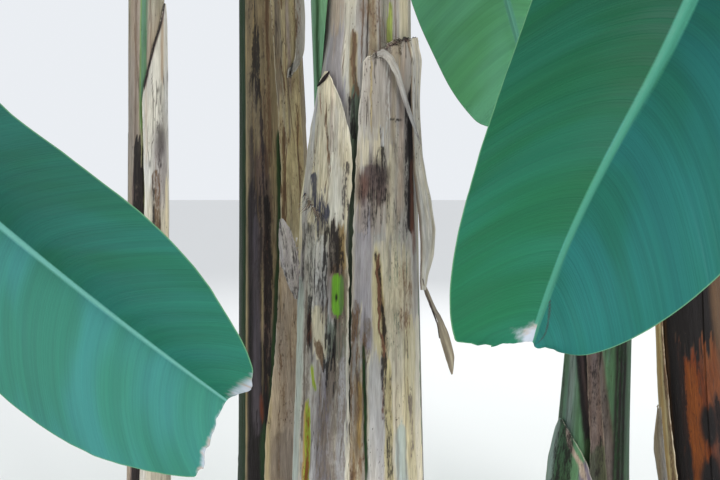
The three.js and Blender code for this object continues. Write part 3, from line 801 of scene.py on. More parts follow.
frontSheath = {
    "name": "main_pointed_sheath", "nodes": ["main_front_sheath"], "stem": "main",
    "rows": 340, "columns": 110, "sheet": 4, "tear": (0.0, 0.004), "base": "cream", "folds": 0.0014,
    "outline": [(0.012, -182, -102), (0.4, -184, -101), (0.6, -184, -103), (0.77, -184, -105.5),
                (0.83, -184, -109), (0.88, -184, -107), (0.92, -183, -104), (0.96, -178, -103.5),
                (1.0, -170, -106), (1.04, -163, -111), (1.07, -158, -117), (1.095, -153, -125),
                (1.108, -148, -129), (1.12, -140, -134)],
    "lift": [(0, 0.006, 0.0045, 0.0055), (0.42, 0.011, 0.0045, 0.0055), (0.7, 0.018, 0.006, 0.006),
             (0.9, 0.02, 0.009, 0.006), (0.98, 0.011, 0.008, 0.008), (1.05, 0.006, 0.0085, 0.009),
             (1.12, 0.006, 0.009, 0.009)],
    "patches": [
        patch((-170, -160), 9, 0.84, 1.1, "weathered", soft=3, ragged=0.08),
        patch((-146, -142), 5, 0.9, 1.1, "cream", soft=3, ragged=0.08, strength=0.8),
        patch(-124, 5, 0.86, 1.06, "paleCream", soft=2.5),
        patch(-150, 31, -0.1, 0.83, "weathered", soft=4, ragged=0.12, rough=0.0016),
        patch(-140, 34, 0.4, 1.08, "greyBrown", rot=0.36, soft=5, ragged=0.2),
        *streaks(41, 14, (-172, -112), (0.84, 1.0), ("pinkish", "weathered", "beige", "paleCream"),
                 (1, 5), (0.05, 0.2), 0.1),
        *streaks(44, 34, (-136, -111), (0.28, 0.56), ("purple", "soot", "weathered", "greyBrown"),
                 (0.6, 2.4), (0.05, 0.2), 0.2, 0.0024),
        *streaks(42, 70, (-178, -106), (0.3, 0.8),
                 ("weathered", "greyBrown", "cream", "soot", "brown", "purple"), (0.8, 4.5),
                 (0.03, 0.16), 0.3, 0.002),
        patch((-133, -129, -132, -134, -137), 0.36, 0.88, 1.09, "brown", depth=-0.0014, soft=0.3,
              wander=1.4, strength=0.7, ragged=0.08),
        patch((-134, -130, -133, -134), 1.6, 0.9, 1.06, "brown", rot=0.6, soft=1.4, wander=1.8),
        patch((-152, -147), 0.5, 0.97, 1.04, "brown", depth=-0.0016, soft=0.4, wander=1.2),
        patch((-142, -146), 0.7, 1.04, 1.09, "rust", soft=0.4, wander=0.8),
        patch((-122, -120), 3, 0.98, 1.02, "char", rot=0.42, soft=2, ragged=0.01),
        patch((-160, -172), 6, 0.87, 0.95, "inkBlue", rot=0.6, soft=5, ragged=0.14, round=2),
        patch((-134, -140, -152), 7, 0.82, 0.93, "inkBlue", soft=4, ragged=0.12, strength=0.4, round=2),
        patch((-130, -138, -152), 10, 0.8, 0.945, "inkBlue", rot=0.76, soft=6, ragged=0.16,
              depth=-0.001),
        patch(-118, 8, 0.845, 0.955, "paleCream", soft=2, clean=1, ragged=0.05),
        patch((-109, -111, -109), 4.5, 0.86, 0.965, "soot", rot=0.66, soft=3, ragged=0.08),
        patch(-119, 9, 0.765, 0.865, "greyBrown", ragged=0.06, soft=3, strength=0.9),
        patch((-111, -112), 4, 0.78, 0.86, "ochre", ragged=0.05, soft=2, strength=0.8),
        patch(-118, 9, 0.77, 0.87, "char", rot=0.6, soft=3, ragged=0.06),
        patch((-166, -168), 5, 0.7, 0.88, "purple", soft=2, ragged=0.08, strength=0.6),
        patch((-150, -158), 12, 0.71, 0.86, "weathered", soft=3, strength=0.8),
        patch((-155, -162), 13, 0.7, 0.86, "char", rot=0.52, soft=5, ragged=0.1),
        patch(-144, 16, 0.71, 0.84, "bone", soft=5, strength=0.7, ragged=0.08),
        patch(-136, 9, 0.7, 0.86, "char", rot=0.46, soft=3, ragged=0.08),
        patch((-150, -151), 6, 0.635, 0.7, "redBrown", soft=1.2, round=3),
        patch(-153, 9, 0.61, 0.73, "char", rot=0.66, soft=4, ragged=0.08),
        patch((-146, -148), 1.2, 0.63, 0.7, "char", ragged=0.04),
        patch((-134, -136), 9, 0.62, 0.715, "cream", ragged=0.05, soft=2),
        patch((-126, -140), 5, 0.6, 0.66, "brown", rot=0.8, soft=2),
        patch(-116, 10, 0.6, 0.705, "moss", soft=3, ragged=0.06, strength=0.75),
        patch(-116, 10, 0.56, 0.7, "char", rot=0.62, soft=4, ragged=0.12),
        patch((-125, -123), 10, 0.3, 0.61, "purple", soft=4, ragged=0.12, strength=0.5, rough=0.0014),
        patch((-124, -122), 12, 0.3, 0.62, "greyBrown", rot=0.62, soft=3, ragged=0.14),
        patch((-117, -119), 1.6, 0.55, 0.66, "char", soft=1.2, ragged=0.06, round=2, depth=-0.0015),
        patch((-109, -108), 5, 0.2, 0.63, "weathered", soft=1.5, ragged=0.08),
        patch((-109, -108), 6, 0.2, 0.8, "greyBrown", rot=0.5, soft=2, ragged=0.12),
        patch((-173, -172), 11, 0.1, 0.76, "paleBlue", soft=2, clean=0.5, strength=0.75),
        *streaks(46, 12, (-184, -162), (0.24, 0.72), ("weathered", "greyBrown", "bone", "soot"),
                 (0.5, 2), (0.04, 0.16), 0.4),
        patch(-158, 1.6, 0.45, 0.76, "greyBrown", rot=0.8, soft=1, depth=-0.002),
        patch((-150, -152), 7, 0.4, 0.64, "greyBrown", rot=0.6, soft=3, ragged=0.1),
        patch((-138, -143), 2.4, 0.565, 0.61, "yellowGreen", soft=0.5, ragged=0.02, clean=1),
        patch((-141, -150), 6, 0.1, 0.545, "ochre", ragged=0.04, soft=0.6, clean=1),
        patch((-139, -148), 4.6, 0.1, 0.55, "yellowGreen", ragged=0.04, soft=0.5, depth=-0.0015,
              clean=1),
        patch((-140, -148), 3.4, 0.1, 0.54, "rust", rot=0.62, soft=1, ragged=0.04),
        patch((-115.5, -116), 9, 0.688, 0.79, "brown", soft=2.6, strength=0.75, round=4),
        patch(-116, 6, 0.7, 0.774, "lime", soft=1.2, ragged=0.012, wander=0.6, depth=-0.001, fade=0.004,
              clean=1, round=6),
        patch(-112, 2, 0.7, 0.774, "moss", soft=1.5, ragged=0.01, strength=0.6),
        patch(-117, 1.2, 0.724, 0.739, "char", ragged=0, wander=0, round=2),
        patch((-104, -105), 0.9, 0.3, 0.86, "paleCream", soft=0.5, depth=0.0015, clean=1),
    ],
}

crackRoute = (-70, -72, -72.5, -74, -76, -80)  # azimuths of the long crack, from its foot up
rightSheath = {
    "name": "main_broken_sheath", "nodes": ["main_right_sheath"], "stem": "main",
    "rows": 340, "columns": 108, "sheet": 5, "tear": (0.012, 0.004), "curl": 0.001, "burntTop": 0.95,
    "base": "greyBeige", "folds": 0.0011,
    "outline": [(0.012, -103, -30), (0.45, -102, -28), (0.83, -102.5, -32), (0.95, -101, -34),
                (1.05, -98.5, -33), (1.14, -94.5, -31), (1.148, -88, -30), (1.16, -76, -30),
                (1.172, -66, -30), (1.182, -56, -31)],
    "lift": [(0, 0.0035, 0.0035, 0.004), (1.0, 0.0035, 0.0035, 0.004), (1.1, 0.0035, 0.004, 0.005),
             (1.18, 0.0035, 0.008, 0.01)],
    "patches": [
        patch(-84, 12, 0.955, 1.05, "cream", soft=4, ragged=0.14, strength=0.8, fade=0.03),
        # Painted shade: grey-brown at the upper right, where the hanging ribbon and the torn rim shade the
        # sheath.
        patch((-55, -58), 11, 0.96, 1.15, "greyBrown", soft=6, strength=0.6, ragged=0.1, fade=0.03),
        patch(-68, 27, 0.36, 0.83, "cream", soft=6, strength=0.8, ragged=0.1, fade=0.03),
        *streaks(43, 36, (-102, -34), (0.36, 1.1),
                 ("cream", "tan", "greyBeige", "weathered", "pinkish"), (1, 7), (0.06, 0.3), 0.16,
                 0.0012),
        patch((-84, -86), 13, 1.0, 1.2, "greyBeige", soft=4, ragged=0.1, fade=0.03),
        patch((-66, -68), 30, 1.02, 1.2, "greyBrown", soft=8, ragged=0.1, fade=0.05, strength=0.28),
        patch((-91, -92), 8, 0.62, 0.9, "mauveGrey", soft=1.5, ragged=0.05),
        patch((-84, -86), 14, 0.84, 0.92, "pinkish", soft=5, ragged=0.06, strength=0.5),
        patch((-84, -83), 16, 0.885, 0.96, "mauveBrown", ragged=0.05, soft=7, strength=0.85, fade=0.02,
              round=4),
        patch((-76, -75), 10, 0.925, 0.97, "soot", soft=6, strength=0.5, fade=0.012,
              round=3),
        patch((-92, -93), 5, 0.9, 0.945, "redBrown", soft=4, strength=0.5, fade=0.014,
              round=3),
        patch(-82, 19, 0.85, 0.99, "char", rot=0.5, soft=7, ragged=0.1),
        patch((-56, -58), 12, 0.8, 1.0, "char", rot=0.4, soft=5, ragged=0.08),
        patch(-88, 8, 0.83, 0.88, "char", rot=0.46, soft=4, ragged=0.05),
        patch((-59, -60), 8, 1.034, 1.0375, "char", ragged=0.004, fade=0.001, depth=-0.0015, soft=3),
        patch((-38, -37), 6, 0.84, 1.1, "char", depth=-0.002, soft=2, ragged=0.06),
        patch((-36, -37), 3, 0.8, 0.97, "redBrown", soft=2, ragged=0.08, strength=0.7),
        patch((-46, -44), 4, 0.84, 1.1, "char", rot=0.6, soft=2, ragged=0.06),
        patch(-60, 16, 0.62, 0.84, "moss", rot=0.4, soft=5, ragged=0.14),
        patch((-76, -80), 5.5, 0.6, 0.82, "yellow", soft=1.4, ragged=0.05, clean=1, strength=0.75,
              round=3),
        patch(crackRoute, 2.2, 0.54, 0.81, "ochre", soft=1.6, wander=1.8, strength=0.6),
        patch(crackRoute, 2.6, 0.5, 0.815, "char", rot=0.72, soft=2, wander=2),
        patch(crackRoute, 1.2, 0.5, 0.815, "redBrown", rot=0.8, soft=1, wander=2.6),
        patch(crackRoute, 0.5, 0.6, 0.8, "brown", depth=-0.0018, soft=0.5, wander=2.6, ragged=0.1,
              strength=0.4),
        patch((-96, -97), 8, 0.2, 0.66, "greyBeige", soft=1, ragged=0.06),
        patch((-94, -95), 4, 0.2, 0.62, "tan", soft=2, ragged=0.1, strength=0.7),
        *streaks(45, 26, (-103, -89), (0.2, 0.62), ("tan", "ochre", "brown", "soot", "cream"), (0.6, 3),
                 (0.05, 0.2), 0.4, 0.0016),
        patch(-99, 5, 0.655, 0.73, "brown", rot=0.6, soft=2, ragged=0.05),
        patch(-88, 4, 0.6, 0.7, "greyBrown", rot=0.6, soft=2, ragged=0.06),
        patch((-96, -97), 8, 0.2, 0.68, "brown", rot=0.5, soft=3, ragged=0.12),
        patch((-93, -93.5), 1.8, 0.47, 0.59, "ochre", ragged=0.05, soft=1),
        patch((-85, -87, -91), 1.5, 0.2, 0.66, "deepGreen", depth=-0.0035, soft=0.6, wander=0.5,
              ragged=0.05),
        patch((-78, -80), 7, 0.2, 0.64, "weathered", soft=1, ragged=0.06, strength=0.9),
        patch((-66, -69), 3.6, 0.3, 0.63, "yellow", ragged=0.05),
        patch((-66, -69), 3.6, 0.38, 0.63, "char", rot=0.5, soft=1.5, ragged=0.06),
        patch(-40, 13, 0.2, 0.7, "yellow", soft=3, strength=0.7, ragged=0.06),
        patch((-54, -56), 6, 0.2, 0.51, "paleBlue", soft=1.5, strength=0.85),
        patch((-42, -44), 3, 0.43, 0.56, "greyBrown", rot=0.6, soft=1.5, ragged=0.05),
        patch(-46, 8, 0.66, 0.8, "brown", rot=0.5, soft=4, ragged=0.1),
        patch(-33, 4, 0.2, 0.7, "paleCream", soft=2, strength=0.8),
        patch(-60, 1, 0.2, 0.7, "greyBrown", depth=-0.001, strength=0.5, wander=1.2),
        patch((-50, -51), 0.8, 0.3, 0.8, "greyBrown", soft=0.6, depth=-0.001, strength=0.5, wander=1.2),
    ],
}

# A live sheath shows past the left side of the main stem.
liveStrip = {
    "name": "main_live_strip", "stem": "main", "rows": 90, "columns": 20, "sheet": 1,
    "curl": 0, "nibble": 0.3, "paleEdge": 0, "tear": (0.0, 0.0), "folds": 0.0005,
    "base": "liveGreen", "finish": (liveSheath, "stem"),
    "outline": [(1.04, -190, -174), (1.12, -196, -158), (1.24, -200, -148), (1.5, -200, -150),
                (1.8, -196, -168)],
    "lift": [(1.04, 0.002, 0.002, 0.0), (1.12, 0.01, 0.007, 0.0), (1.25, 0.024, 0.016, 0.0),
             (1.5, 0.024, 0.016, 0.0), (1.8, 0.003, 0.002, 0.0)],
    "patches": [
        patch((-163, -157), 3, 1.04, 1.8, "deepGreen", soft=1.5),
        patch(-176, 5, 1.04, 1.8, "paleGreen", soft=3),
    ],
}

sideSheaths = [
    {
        "name": "rear_tan_shell", "nodes": ["rear_tan_sheath"], "stem": "rear", "rows": 220, "columns": 64,
        "outline": [(0.012, -116, -30), (0.311, -107, -30), (0.42, -104, -32), (0.55, -92, -32),
                    (0.7, -84, -32), (0.82, -79, -32), (0.95, -75, -34), (1.1, -78, -36),
                    (1.3, -84, -40), (1.5, -92, -52)],
        "base": "sand", "sheet": 3, "folds": 0.0009,
        "patches": [
            patch((-80, -60), 30, -0.1, 0.8, "pinkish", soft=3, strength=0.8, ragged=0.1, fade=0.03),
            patch(-70, 30, -0.1, 0.42, "greyBrown", soft=3, strength=0.5, ragged=0.1, fade=0.02),
            patch((-62, -55), 12, 0.76, 1.12, "yellow", soft=5, strength=0.45, ragged=0.1, fade=0.03),
            *streaks(63, 16, (-84, -40), (0.5, 1.3), ("ochre", "beige", "greyBrown"), (1, 5),
                     (0.06, 0.3), 0.4),
            patch((-74, -68), 3, 0.82, 1.04, "brown", rot=0.85, soft=2, ragged=0.05),
            patch((-71, -66), 0.8, 0.84, 1.0, "brown", soft=0.5),
            patch((-46, -44), 1.2, 0.82, 1.1, "brown"),
            patch((-52, -62, -58), 0.7, 1.0, 1.3, "brown", soft=0.6, strength=0.8),
            patch(-60, 30, 0.4, 1.4, "brown", rot=0.4, soft=5, ragged=0.2),
            patch((-90, -84), 2.2, 0.3, 0.6, "brown", rot=0.5, soft=1),
            patch((-76, -72), 5, 1.06, 1.5, "greyBrown", soft=3, ragged=0.12, strength=0.7),
            patch((-56, -54), 3, 1.1, 1.5, "pinkish", soft=2, ragged=0.1),
        ],
    },
    {
        "name": "rear_torn_shell", "stem": "rear", "rows": 90, "columns": 30, "sheet": 6,
        "outline": [(1.135, -62, -58), (1.15, -60, -48), (1.165, -52, -38), (1.18, -47, -30),
                    (1.21, -42, -18), (1.26, -40, -10), (1.35, -38, -6), (1.52, -32, -4)],
        "base": "greyBeige", "tear": (0.0, 0.014),
        "lift": [(1.1, 0.01, 0.01, 0.009), (1.5, 0.006, 0.005, 0.005)],
        "patches": [
            patch((-59, -51, -45, -41), 2, 1.13, 1.26, "char", rot=0.8, soft=1.5),
            patch((-30, -24), 6, 1.16, 1.5, "weathered", soft=3, strength=0.6),
            patch((-36, -30), 12, 1.14, 1.5, "brown", rot=0.42, soft=5, ragged=0.1),
        ],
    },
    {
        "name": "slim_pale_shell", "nodes": ["slim_pale_sheath"], "stem": "slim", "rows": 180,
        "columns": 40,
        "outline": [(0.012, -106, -14), (0.9, -84, 6), (1.0, -87, 8), (1.08, -91, 8), (1.12, -86, 8),
                    (1.157, -73, 8), (1.19, -62, 6), (1.23, -41, 4), (1.276, -19, -12)],
        "base": "bone", "sheet": 1, "curl": 0.0016, "tear": (0, 0.004), "nibble": 0.6, "folds": 0.0006,
        "lift": [(0, 0.004, 0.0035, 0.0035), (1.276, 0.004, 0.0035, 0.0035)],
        "patches": [
            patch(-30, 6, 1.12, 1.26, "pinkish", soft=3),
            patch(-80, 3, 0.95, 1.12, "pinkish", soft=2, strength=0.5),
            patch((-61, -62, -66), 1.0, 1.02, 1.15, "char", depth=-0.0012, wander=1.2,
                  strength=0.8),
            patch((-88, -75, -57, -30, -12), 5, 1.1, 1.29, "mauveBrown", soft=3, wander=0.8,
                  strength=0.8),
            patch((-88, -75, -58, -32, -14), 3.4, 1.1, 1.29, "char", rot=0.9, soft=2, wander=0.8),
            patch(-40, 44, -0.1, 0.93, "beige", soft=6, ragged=0.1, strength=0.6, fade=0.05),
            patch(-36, 26, 0.87, 1.03, "mauveGrey", soft=14, strength=0.8, fade=0.05),
            patch(-38, 16, 0.97, 1.045, "soot", soft=14, ragged=0.02, strength=0.7, fade=0.025,
                  round=2.5),
            patch((-40, -36), 24, 0.9, 1.07, "soot", rot=0.42, soft=10, ragged=0.1),
            patch((-50, -56), 15, 0.72, 0.95, "brown", rot=0.72, soft=6, ragged=0.14),
            patch((-60, -64), 3, 0.78, 0.93, "char", rot=0.8, soft=2, ragged=0.1),
            patch(-12, 9, 0.5, 0.94, "cream", soft=4),
        ],
    },
    {
        "name": "right_brown_shell", "nodes": ["right_brown_sheath"], "stem": "right", "rows": 130,
        "columns": 40,
        "outline": [(0.012, -112, -76), (0.25, -106, -82), (0.34, -108, -89), (0.5, -120, -101),
                    (0.8, -134, -118), (0.9, -131, -126)],
        "base": "greyBrown", "sheet": 2, "paleEdge": 0.15,
        "patches": [
            patch((-90, -127), 12, 0.1, 0.9, "mauveBrown", soft=6, strength=0.5, ragged=0.1),
            patch((-96, -120), 4, 0.1, 0.9, "mauveGrey", soft=3, strength=0.2, ragged=0.1),
            patch((-90, -127), 12, 0.1, 0.9, "char", rot=0.5, soft=3, ragged=0.1),
            patch((-90, -92), 18, -0.1, 0.33, "deepGreen", soft=3, strength=0.6, ragged=0.04),
        ],
    },
    {
        "name": "right_outer_shell", "stem": "right", "rows": 80, "columns": 30, "sheet": 7,
        "outline": [(0.012, -185, -98), (0.25, -182, -102), (0.29, -180, -111), (0.33, -178, -128),
                    (0.352, -176, -142), (0.375, -170, -158)],
        "base": "liveGreen", "tear": (0.0, 0.0),
        "lift": [(0, 0.012, 0.006, 0.005), (0.28, 0.016, 0.008, 0.006), (0.38, 0.004, 0.004, 0.004)],
        "patches": [
            patch((-146, -150), 12, 0.0, 0.4, "deepGreen", soft=5, ragged=0.1, strength=0.5),
            patch(-172, 8, 0.0, 0.4, "paleBlue", soft=4, ragged=0.05, strength=0.6),
            patch((-104, -112), 9, 0.0, 0.295, "purple", soft=2, ragged=0.02),
            patch((-112, -120, -138, -146), 4, 0.25, 0.36, "pinkish", soft=1, ragged=0.01, wander=0.2),
            patch(-150, 20, 0.0, 0.4, "char", rot=0.6, soft=5),
        ],
    },
    {
        "name": "far_right_tan_shell", "nodes": ["far_right_tan_sheath"], "stem": "far_right", "rows": 130,
        "columns": 36, "sheet": 7,
        "outline": [(0.012, -190, -148), (0.3, -188, -153), (0.42, -188, -155), (0.52, -186, -158),
                    (0.62, -184, -161), (0.9, -176, -160)],
        "base": "tan",
        "patches": [
            patch((-172, -174), 8, 0.0, 0.9, "ochre", soft=5, strength=0.8, ragged=0.1),
            patch((-164, -168), 3, 0.0, 0.8, "yellow", soft=2, strength=0.6, ragged=0.1),
            patch((-158, -162), 6, 0.0, 0.9, "brown", rot=0.6, soft=4, ragged=0.1),
        ],
    },
    {
        "name": "far_right_dry_shell", "stem": "far_right", "rows": 90, "columns": 34, "sheet": 2,
        "outline": [(0.012, -238, -170), (0.24, -228, -172), (0.34, -212, -176), (0.45, -196, -178)],
        "base": "greyBeige", "tear": (0.02, 0.0),
        "lift": [(0, 0.03, 0.012, 0.003), (0.24, 0.034, 0.014, 0.003), (0.34, 0.024, 0.012, 0.003),
                 (0.45, 0.006, 0.004, 0.003)],
        "patches": [
            patch((-205, -195), 14, 0.0, 0.45, "tan", soft=6, strength=0.6, ragged=0.1),
            patch((-200, -190), 20, 0.0, 0.45, "brown", rot=0.42, soft=6, ragged=0.1),
        ],
    },
]
for spec in [frontSheath, rightSheath, liveStrip] + sideSheaths:
    sheathShell(spec)
print("dry sheaths done")


# Torn ribbons of dry sheath: a smoothed route through the air and a width at each share of it

ribbonLook = {
    "nodes": [],
    "thickness": 0.0014,
    "rim": None,  # hue of one of its edges
    "smoothing": 40,  # how often the corners of its route are rounded
}


def ribbon(spec):
    spec = {**ribbonLook, **spec}
    route = np.array(spec["route"], float)
    knots = np.linspace(0, 1, len(route))
    fine = np.linspace(0, 1, 200)
    path = np.stack([np.interp(fine, knots, route[:, k]) for k in range(3)], axis=1)
    for _ in range(spec["smoothing"]):
        path[1:-1] = (path[:-2] + 2 * path[1:-1] + path[2:]) / 4
    t = np.linspace(0, 1, spec["steps"] + 1)
    centre = np.stack([np.interp(t, fine, path[:, k]) for k in range(3)], axis=1)
    along = np.gradient(centre, axis=0)
    along /= np.linalg.norm(along, axis=1, keepdims=True)
    side = np.cross(along, np.array(spec["facing"], float))
    side /= np.linalg.norm(side, axis=1, keepdims=True)
    front = np.cross(side, along)
    twist = np.radians(np.interp(t, np.linspace(0, 1, len(spec["twist"])), spec["twist"]))[:, None]
    side, front = side * np.cos(twist) + front * np.sin(twist), front * np.cos(twist) - side * np.sin(twist)
    widths = np.interp(t, np.linspace(0, 1, len(spec["widths"])), spec["widths"])
    widths = widths * (1 + 0.12 * softNoise(t * 18, 1.5, 2))
    s = np.linspace(-1, 1, spec["columns"] + 1)
    bowed = spec["cup"] * s[None, :, None] ** 2
    bowed = bowed + 0.05 * softNoise(s[None, :] * 3, t[:, None] * 9, 5)[..., None]
    points = centre[:, None, :] + side[:, None, :] * (s[None, :, None] * widths[:, None, None] / 2)
    points = points - front[:, None, :] * (bowed * widths[:, None, None] / 2)
    across = s[None, :] * widths[:, None] / 2
    lengthwise = np.cumsum(np.linalg.norm(np.gradient(centre, axis=0), axis=1))[:, None] + 0 * across
    grain = np.stack([across, 0 * across + spec["grainAt"], lengthwise * 0.05], axis=-1)
    shade = 0.5 + 0.5 * softNoise(s[None, :] * 4 + 20, t[:, None] * 5, 3)
    tint = blend(hues[spec["hues"][0]], hues[spec["hues"][1]], shade[..., None])
    if spec["rim"]:
        tint = blend(tint, hues[spec["rim"]], 0.8 * eased(s, 0.45, 0.95)[None, :, None])
    char = np.broadcast_to(hues["char"], tint.shape)
    rot = np.concatenate([char, np.broadcast_to(spec["rot"], tint.shape[:2])[..., None]], axis=-1)
    piece = gridPiece(spec["name"], points, {"tint": tint, "rot": rot, "grain": grain})
    thicken(piece, spec["thickness"])
    finishPiece(piece, drySheath, "dry_sheath", spec["nodes"])


ribbons = [
    {
        "name": "main_loose_strip", "nodes": ["main_loose_sheath"], "steps": 120, "columns": 18,
        "route": [(0.0895, -0.056, 1.176), (0.0972, -0.0474, 1.1405), (0.0956, -0.0493, 1.0715),
                  (0.0995, -0.0471, 1.0023), (0.1028, -0.0527, 0.9501), (0.1118, -0.0524, 0.8978),
                  (0.1185, -0.05, 0.8452), (0.1172, -0.0571, 0.8018), (0.1119, -0.0595, 0.7669),
                  (0.1103, -0.0604, 0.7406)],
        "widths": [0.02, 0.019, 0.015, 0.015, 0.018, 0.024, 0.026, 0.022, 0.014, 0.008],
        "facing": (0.25, -0.97, 0), "twist": [0, -14, -20, -8, 0], "cup": -0.3, "grainAt": 0.6,
        "hues": ("cream", "bone"), "rim": "brown", "rot": 0.3,
    },
    {
        "name": "main_hanging_ribbon", "nodes": ["main_hanging_strip"], "steps": 70, "columns": 10,
        "route": [(0.0288, -0.0871, 1.1463), (0.0406, -0.0902, 1.149), (0.0525, -0.0926, 1.1392),
                  (0.0653, -0.0892, 1.116), (0.0785, -0.0823, 1.0727), (0.0929, -0.0711, 1.0316),
                  (0.106, -0.0566, 0.9952)],
        "widths": [0.012, 0.016, 0.017, 0.014, 0.012, 0.009, 0.004],
        "facing": (0.35, -0.94, 0), "twist": [20, 10, 25, 30], "cup": 0.5, "grainAt": 0.31,
        "hues": ("greyBeige", "weathered"), "rot": 0.34,
    },
    {
        "name": "main_torn_tail", "steps": 60, "columns": 10,
        "route": [(0.1105, -0.0606, 0.7512), (0.1156, -0.0593, 0.7423), (0.1297, -0.0475, 0.7096),
                  (0.1427, -0.0402, 0.685), (0.1501, -0.0358, 0.6613), (0.1621, -0.0328, 0.6177),
                  (0.1649, -0.0309, 0.585)],
        "widths": [0.006, 0.006, 0.007, 0.008, 0.013, 0.019, 0.017, 0.003],
        "facing": (0.1, -1, 0), "twist": [0, 20, 10], "cup": 0.4, "grainAt": 0.42,
        "hues": ("greyBrown", "beige"), "rot": 0.3,
    },
    {
        "name": "main_torn_shred", "steps": 40, "columns": 6,
        "route": [(0.1085, -0.0606, 0.7612), (0.1166, -0.0593, 0.7323), (0.1277, -0.0475, 0.7056),
                  (0.1387, -0.0402, 0.675), (0.1421, -0.0358, 0.6513)],
        "widths": [0.005, 0.005, 0.004, 0.003, 0.002],
        "facing": (0.1, -1, 0), "twist": [0, 60], "cup": 0.3, "grainAt": 0.47,
        "hues": ("greyBrown", "greyBrown"), "rot": 0.5,
    },
    {
        "name": "main_torn_flap", "nodes": ["main_left_flap"], "steps": 70, "columns": 16,
        "route": [(-0.114, -0.022, 0.7199), (-0.1188, -0.03, 0.75), (-0.1228, -0.034, 0.775),
                  (-0.1268, -0.036, 0.8062), (-0.1327, -0.036, 0.8425), (-0.139, -0.034, 0.8641)],
        "widths": [0.006, 0.02, 0.028, 0.033, 0.029, 0.02, 0.006],
        "facing": (-0.2, -0.98, 0), "twist": [-12, -25], "cup": 0.35, "grainAt": 0.53,
        "hues": ("mauveGrey", "weathered"), "rot": 0.5,
    },
    {
        "name": "main_curled_tip", "steps": 24, "columns": 6,
        "route": [(-0.0531, -0.0712, 1.119), (-0.0578, -0.0688, 1.1125), (-0.0638, -0.063, 1.1049),
                  (-0.0742, -0.0455, 1.0952)],
        "widths": [0.003, 0.006, 0.007, 0.003],
        "facing": (-0.6, -0.8, 0), "twist": [0, 40], "cup": 0.8, "grainAt": 0.57,
        "hues": ("mauveBrown", "char"), "rot": 0.8,
    },
]
for spec in ribbons:
    ribbon(spec)
print("ribbons done")


# Frayed fibres along a torn edge, each a thin bent blade of three sides

def frayedEdge(spec):
    stem = stems[spec["stem"]]
    dice = np.random.default_rng(spec["seed"])
    strands = []
    edge = np.array(spec["edge"], float)
    for number in range(spec["count"]):
        at = dice.uniform(0, 1)
        azimuth, height, lift = (np.interp(at, np.linspace(0, 1, len(edge)), edge[:, k]) for k in range(3))
        reach = dice.uniform(*spec["length"])
        t = np.linspace(0, 1, 6)
        turn = azimuth + dice.uniform(-14, 14) * t**1.5
        rise = height - 0.008 + reach * np.sin(np.radians(dice.uniform(*spec["rise"]))) * t
        out = lift + reach * dice.uniform(0.1, 0.7) * t**2
        middle = onStem(stem, rise, turn, out)
        thick = dice.uniform(0.0006, 0.0014) * (1 - 0.85 * t[:, None])
        ring = np.radians([90, 210, 330, 90])
        offsets = np.stack([thick * np.cos(ring) * 1.6, thick * np.sin(ring), 0 * thick * ring], axis=-1)
        points = middle[:, None, :] + offsets
        points[:, -1] = points[:, 0]
        hue = hues[spec["hues"][dice.integers(len(spec["hues"]))]] * dice.uniform(0.7, 1.1)
        layers = {
            "tint": np.broadcast_to(hue, points.shape),
            "rot": np.zeros(points.shape[:2] + (4,)),
            "grain": points * (1, 1, 0.05),
        }
        strands.append(gridPiece(f"{spec['name']}_{number}", points, layers, closed=True))
    for strand in strands:
        strand.select_set(True)
    bpy.context.view_layer.objects.active = strands[0]
    bpy.ops.object.join()
    piece = bpy.context.object
    piece.name = spec["name"]
    finishPiece(piece, drySheath, "dry_sheath")


frays = [
    {
        "name": "main_rim_fibres", "stem": "main", "seed": 5, "count": 60, "length": (0.004, 0.012),
        "rise": (-30, 60), "hues": ("char", "mauveBrown", "greyBrown"),
        "edge": [(-82, 1.155, 0.006), (-70, 1.166, 0.007), (-55, 1.178, 0.009), (-36, 1.182, 0.01)],
    },
    {
        "name": "main_window_fibres", "stem": "main", "seed": 8, "count": 26, "length": (0.01, 0.03),
        "rise": (-88, -60), "hues": ("inkBlue", "greyBrown", "weathered"),
        "edge": [(-166, 0.92, 0.016), (-150, 0.9, 0.013), (-136, 0.88, 0.01)],
    },
    {
        "name": "flap_fibres", "stem": "main", "seed": 9, "count": 18, "length": (0.006, 0.014),
        "rise": (-80, 60), "hues": ("purple", "weathered"),
        "edge": [(-168, 0.84, 0.026), (-168, 0.76, 0.016)],
    },
]
for spec in frays:
    frayedEdge(spec)
print("frayed edges done")


# Leaves

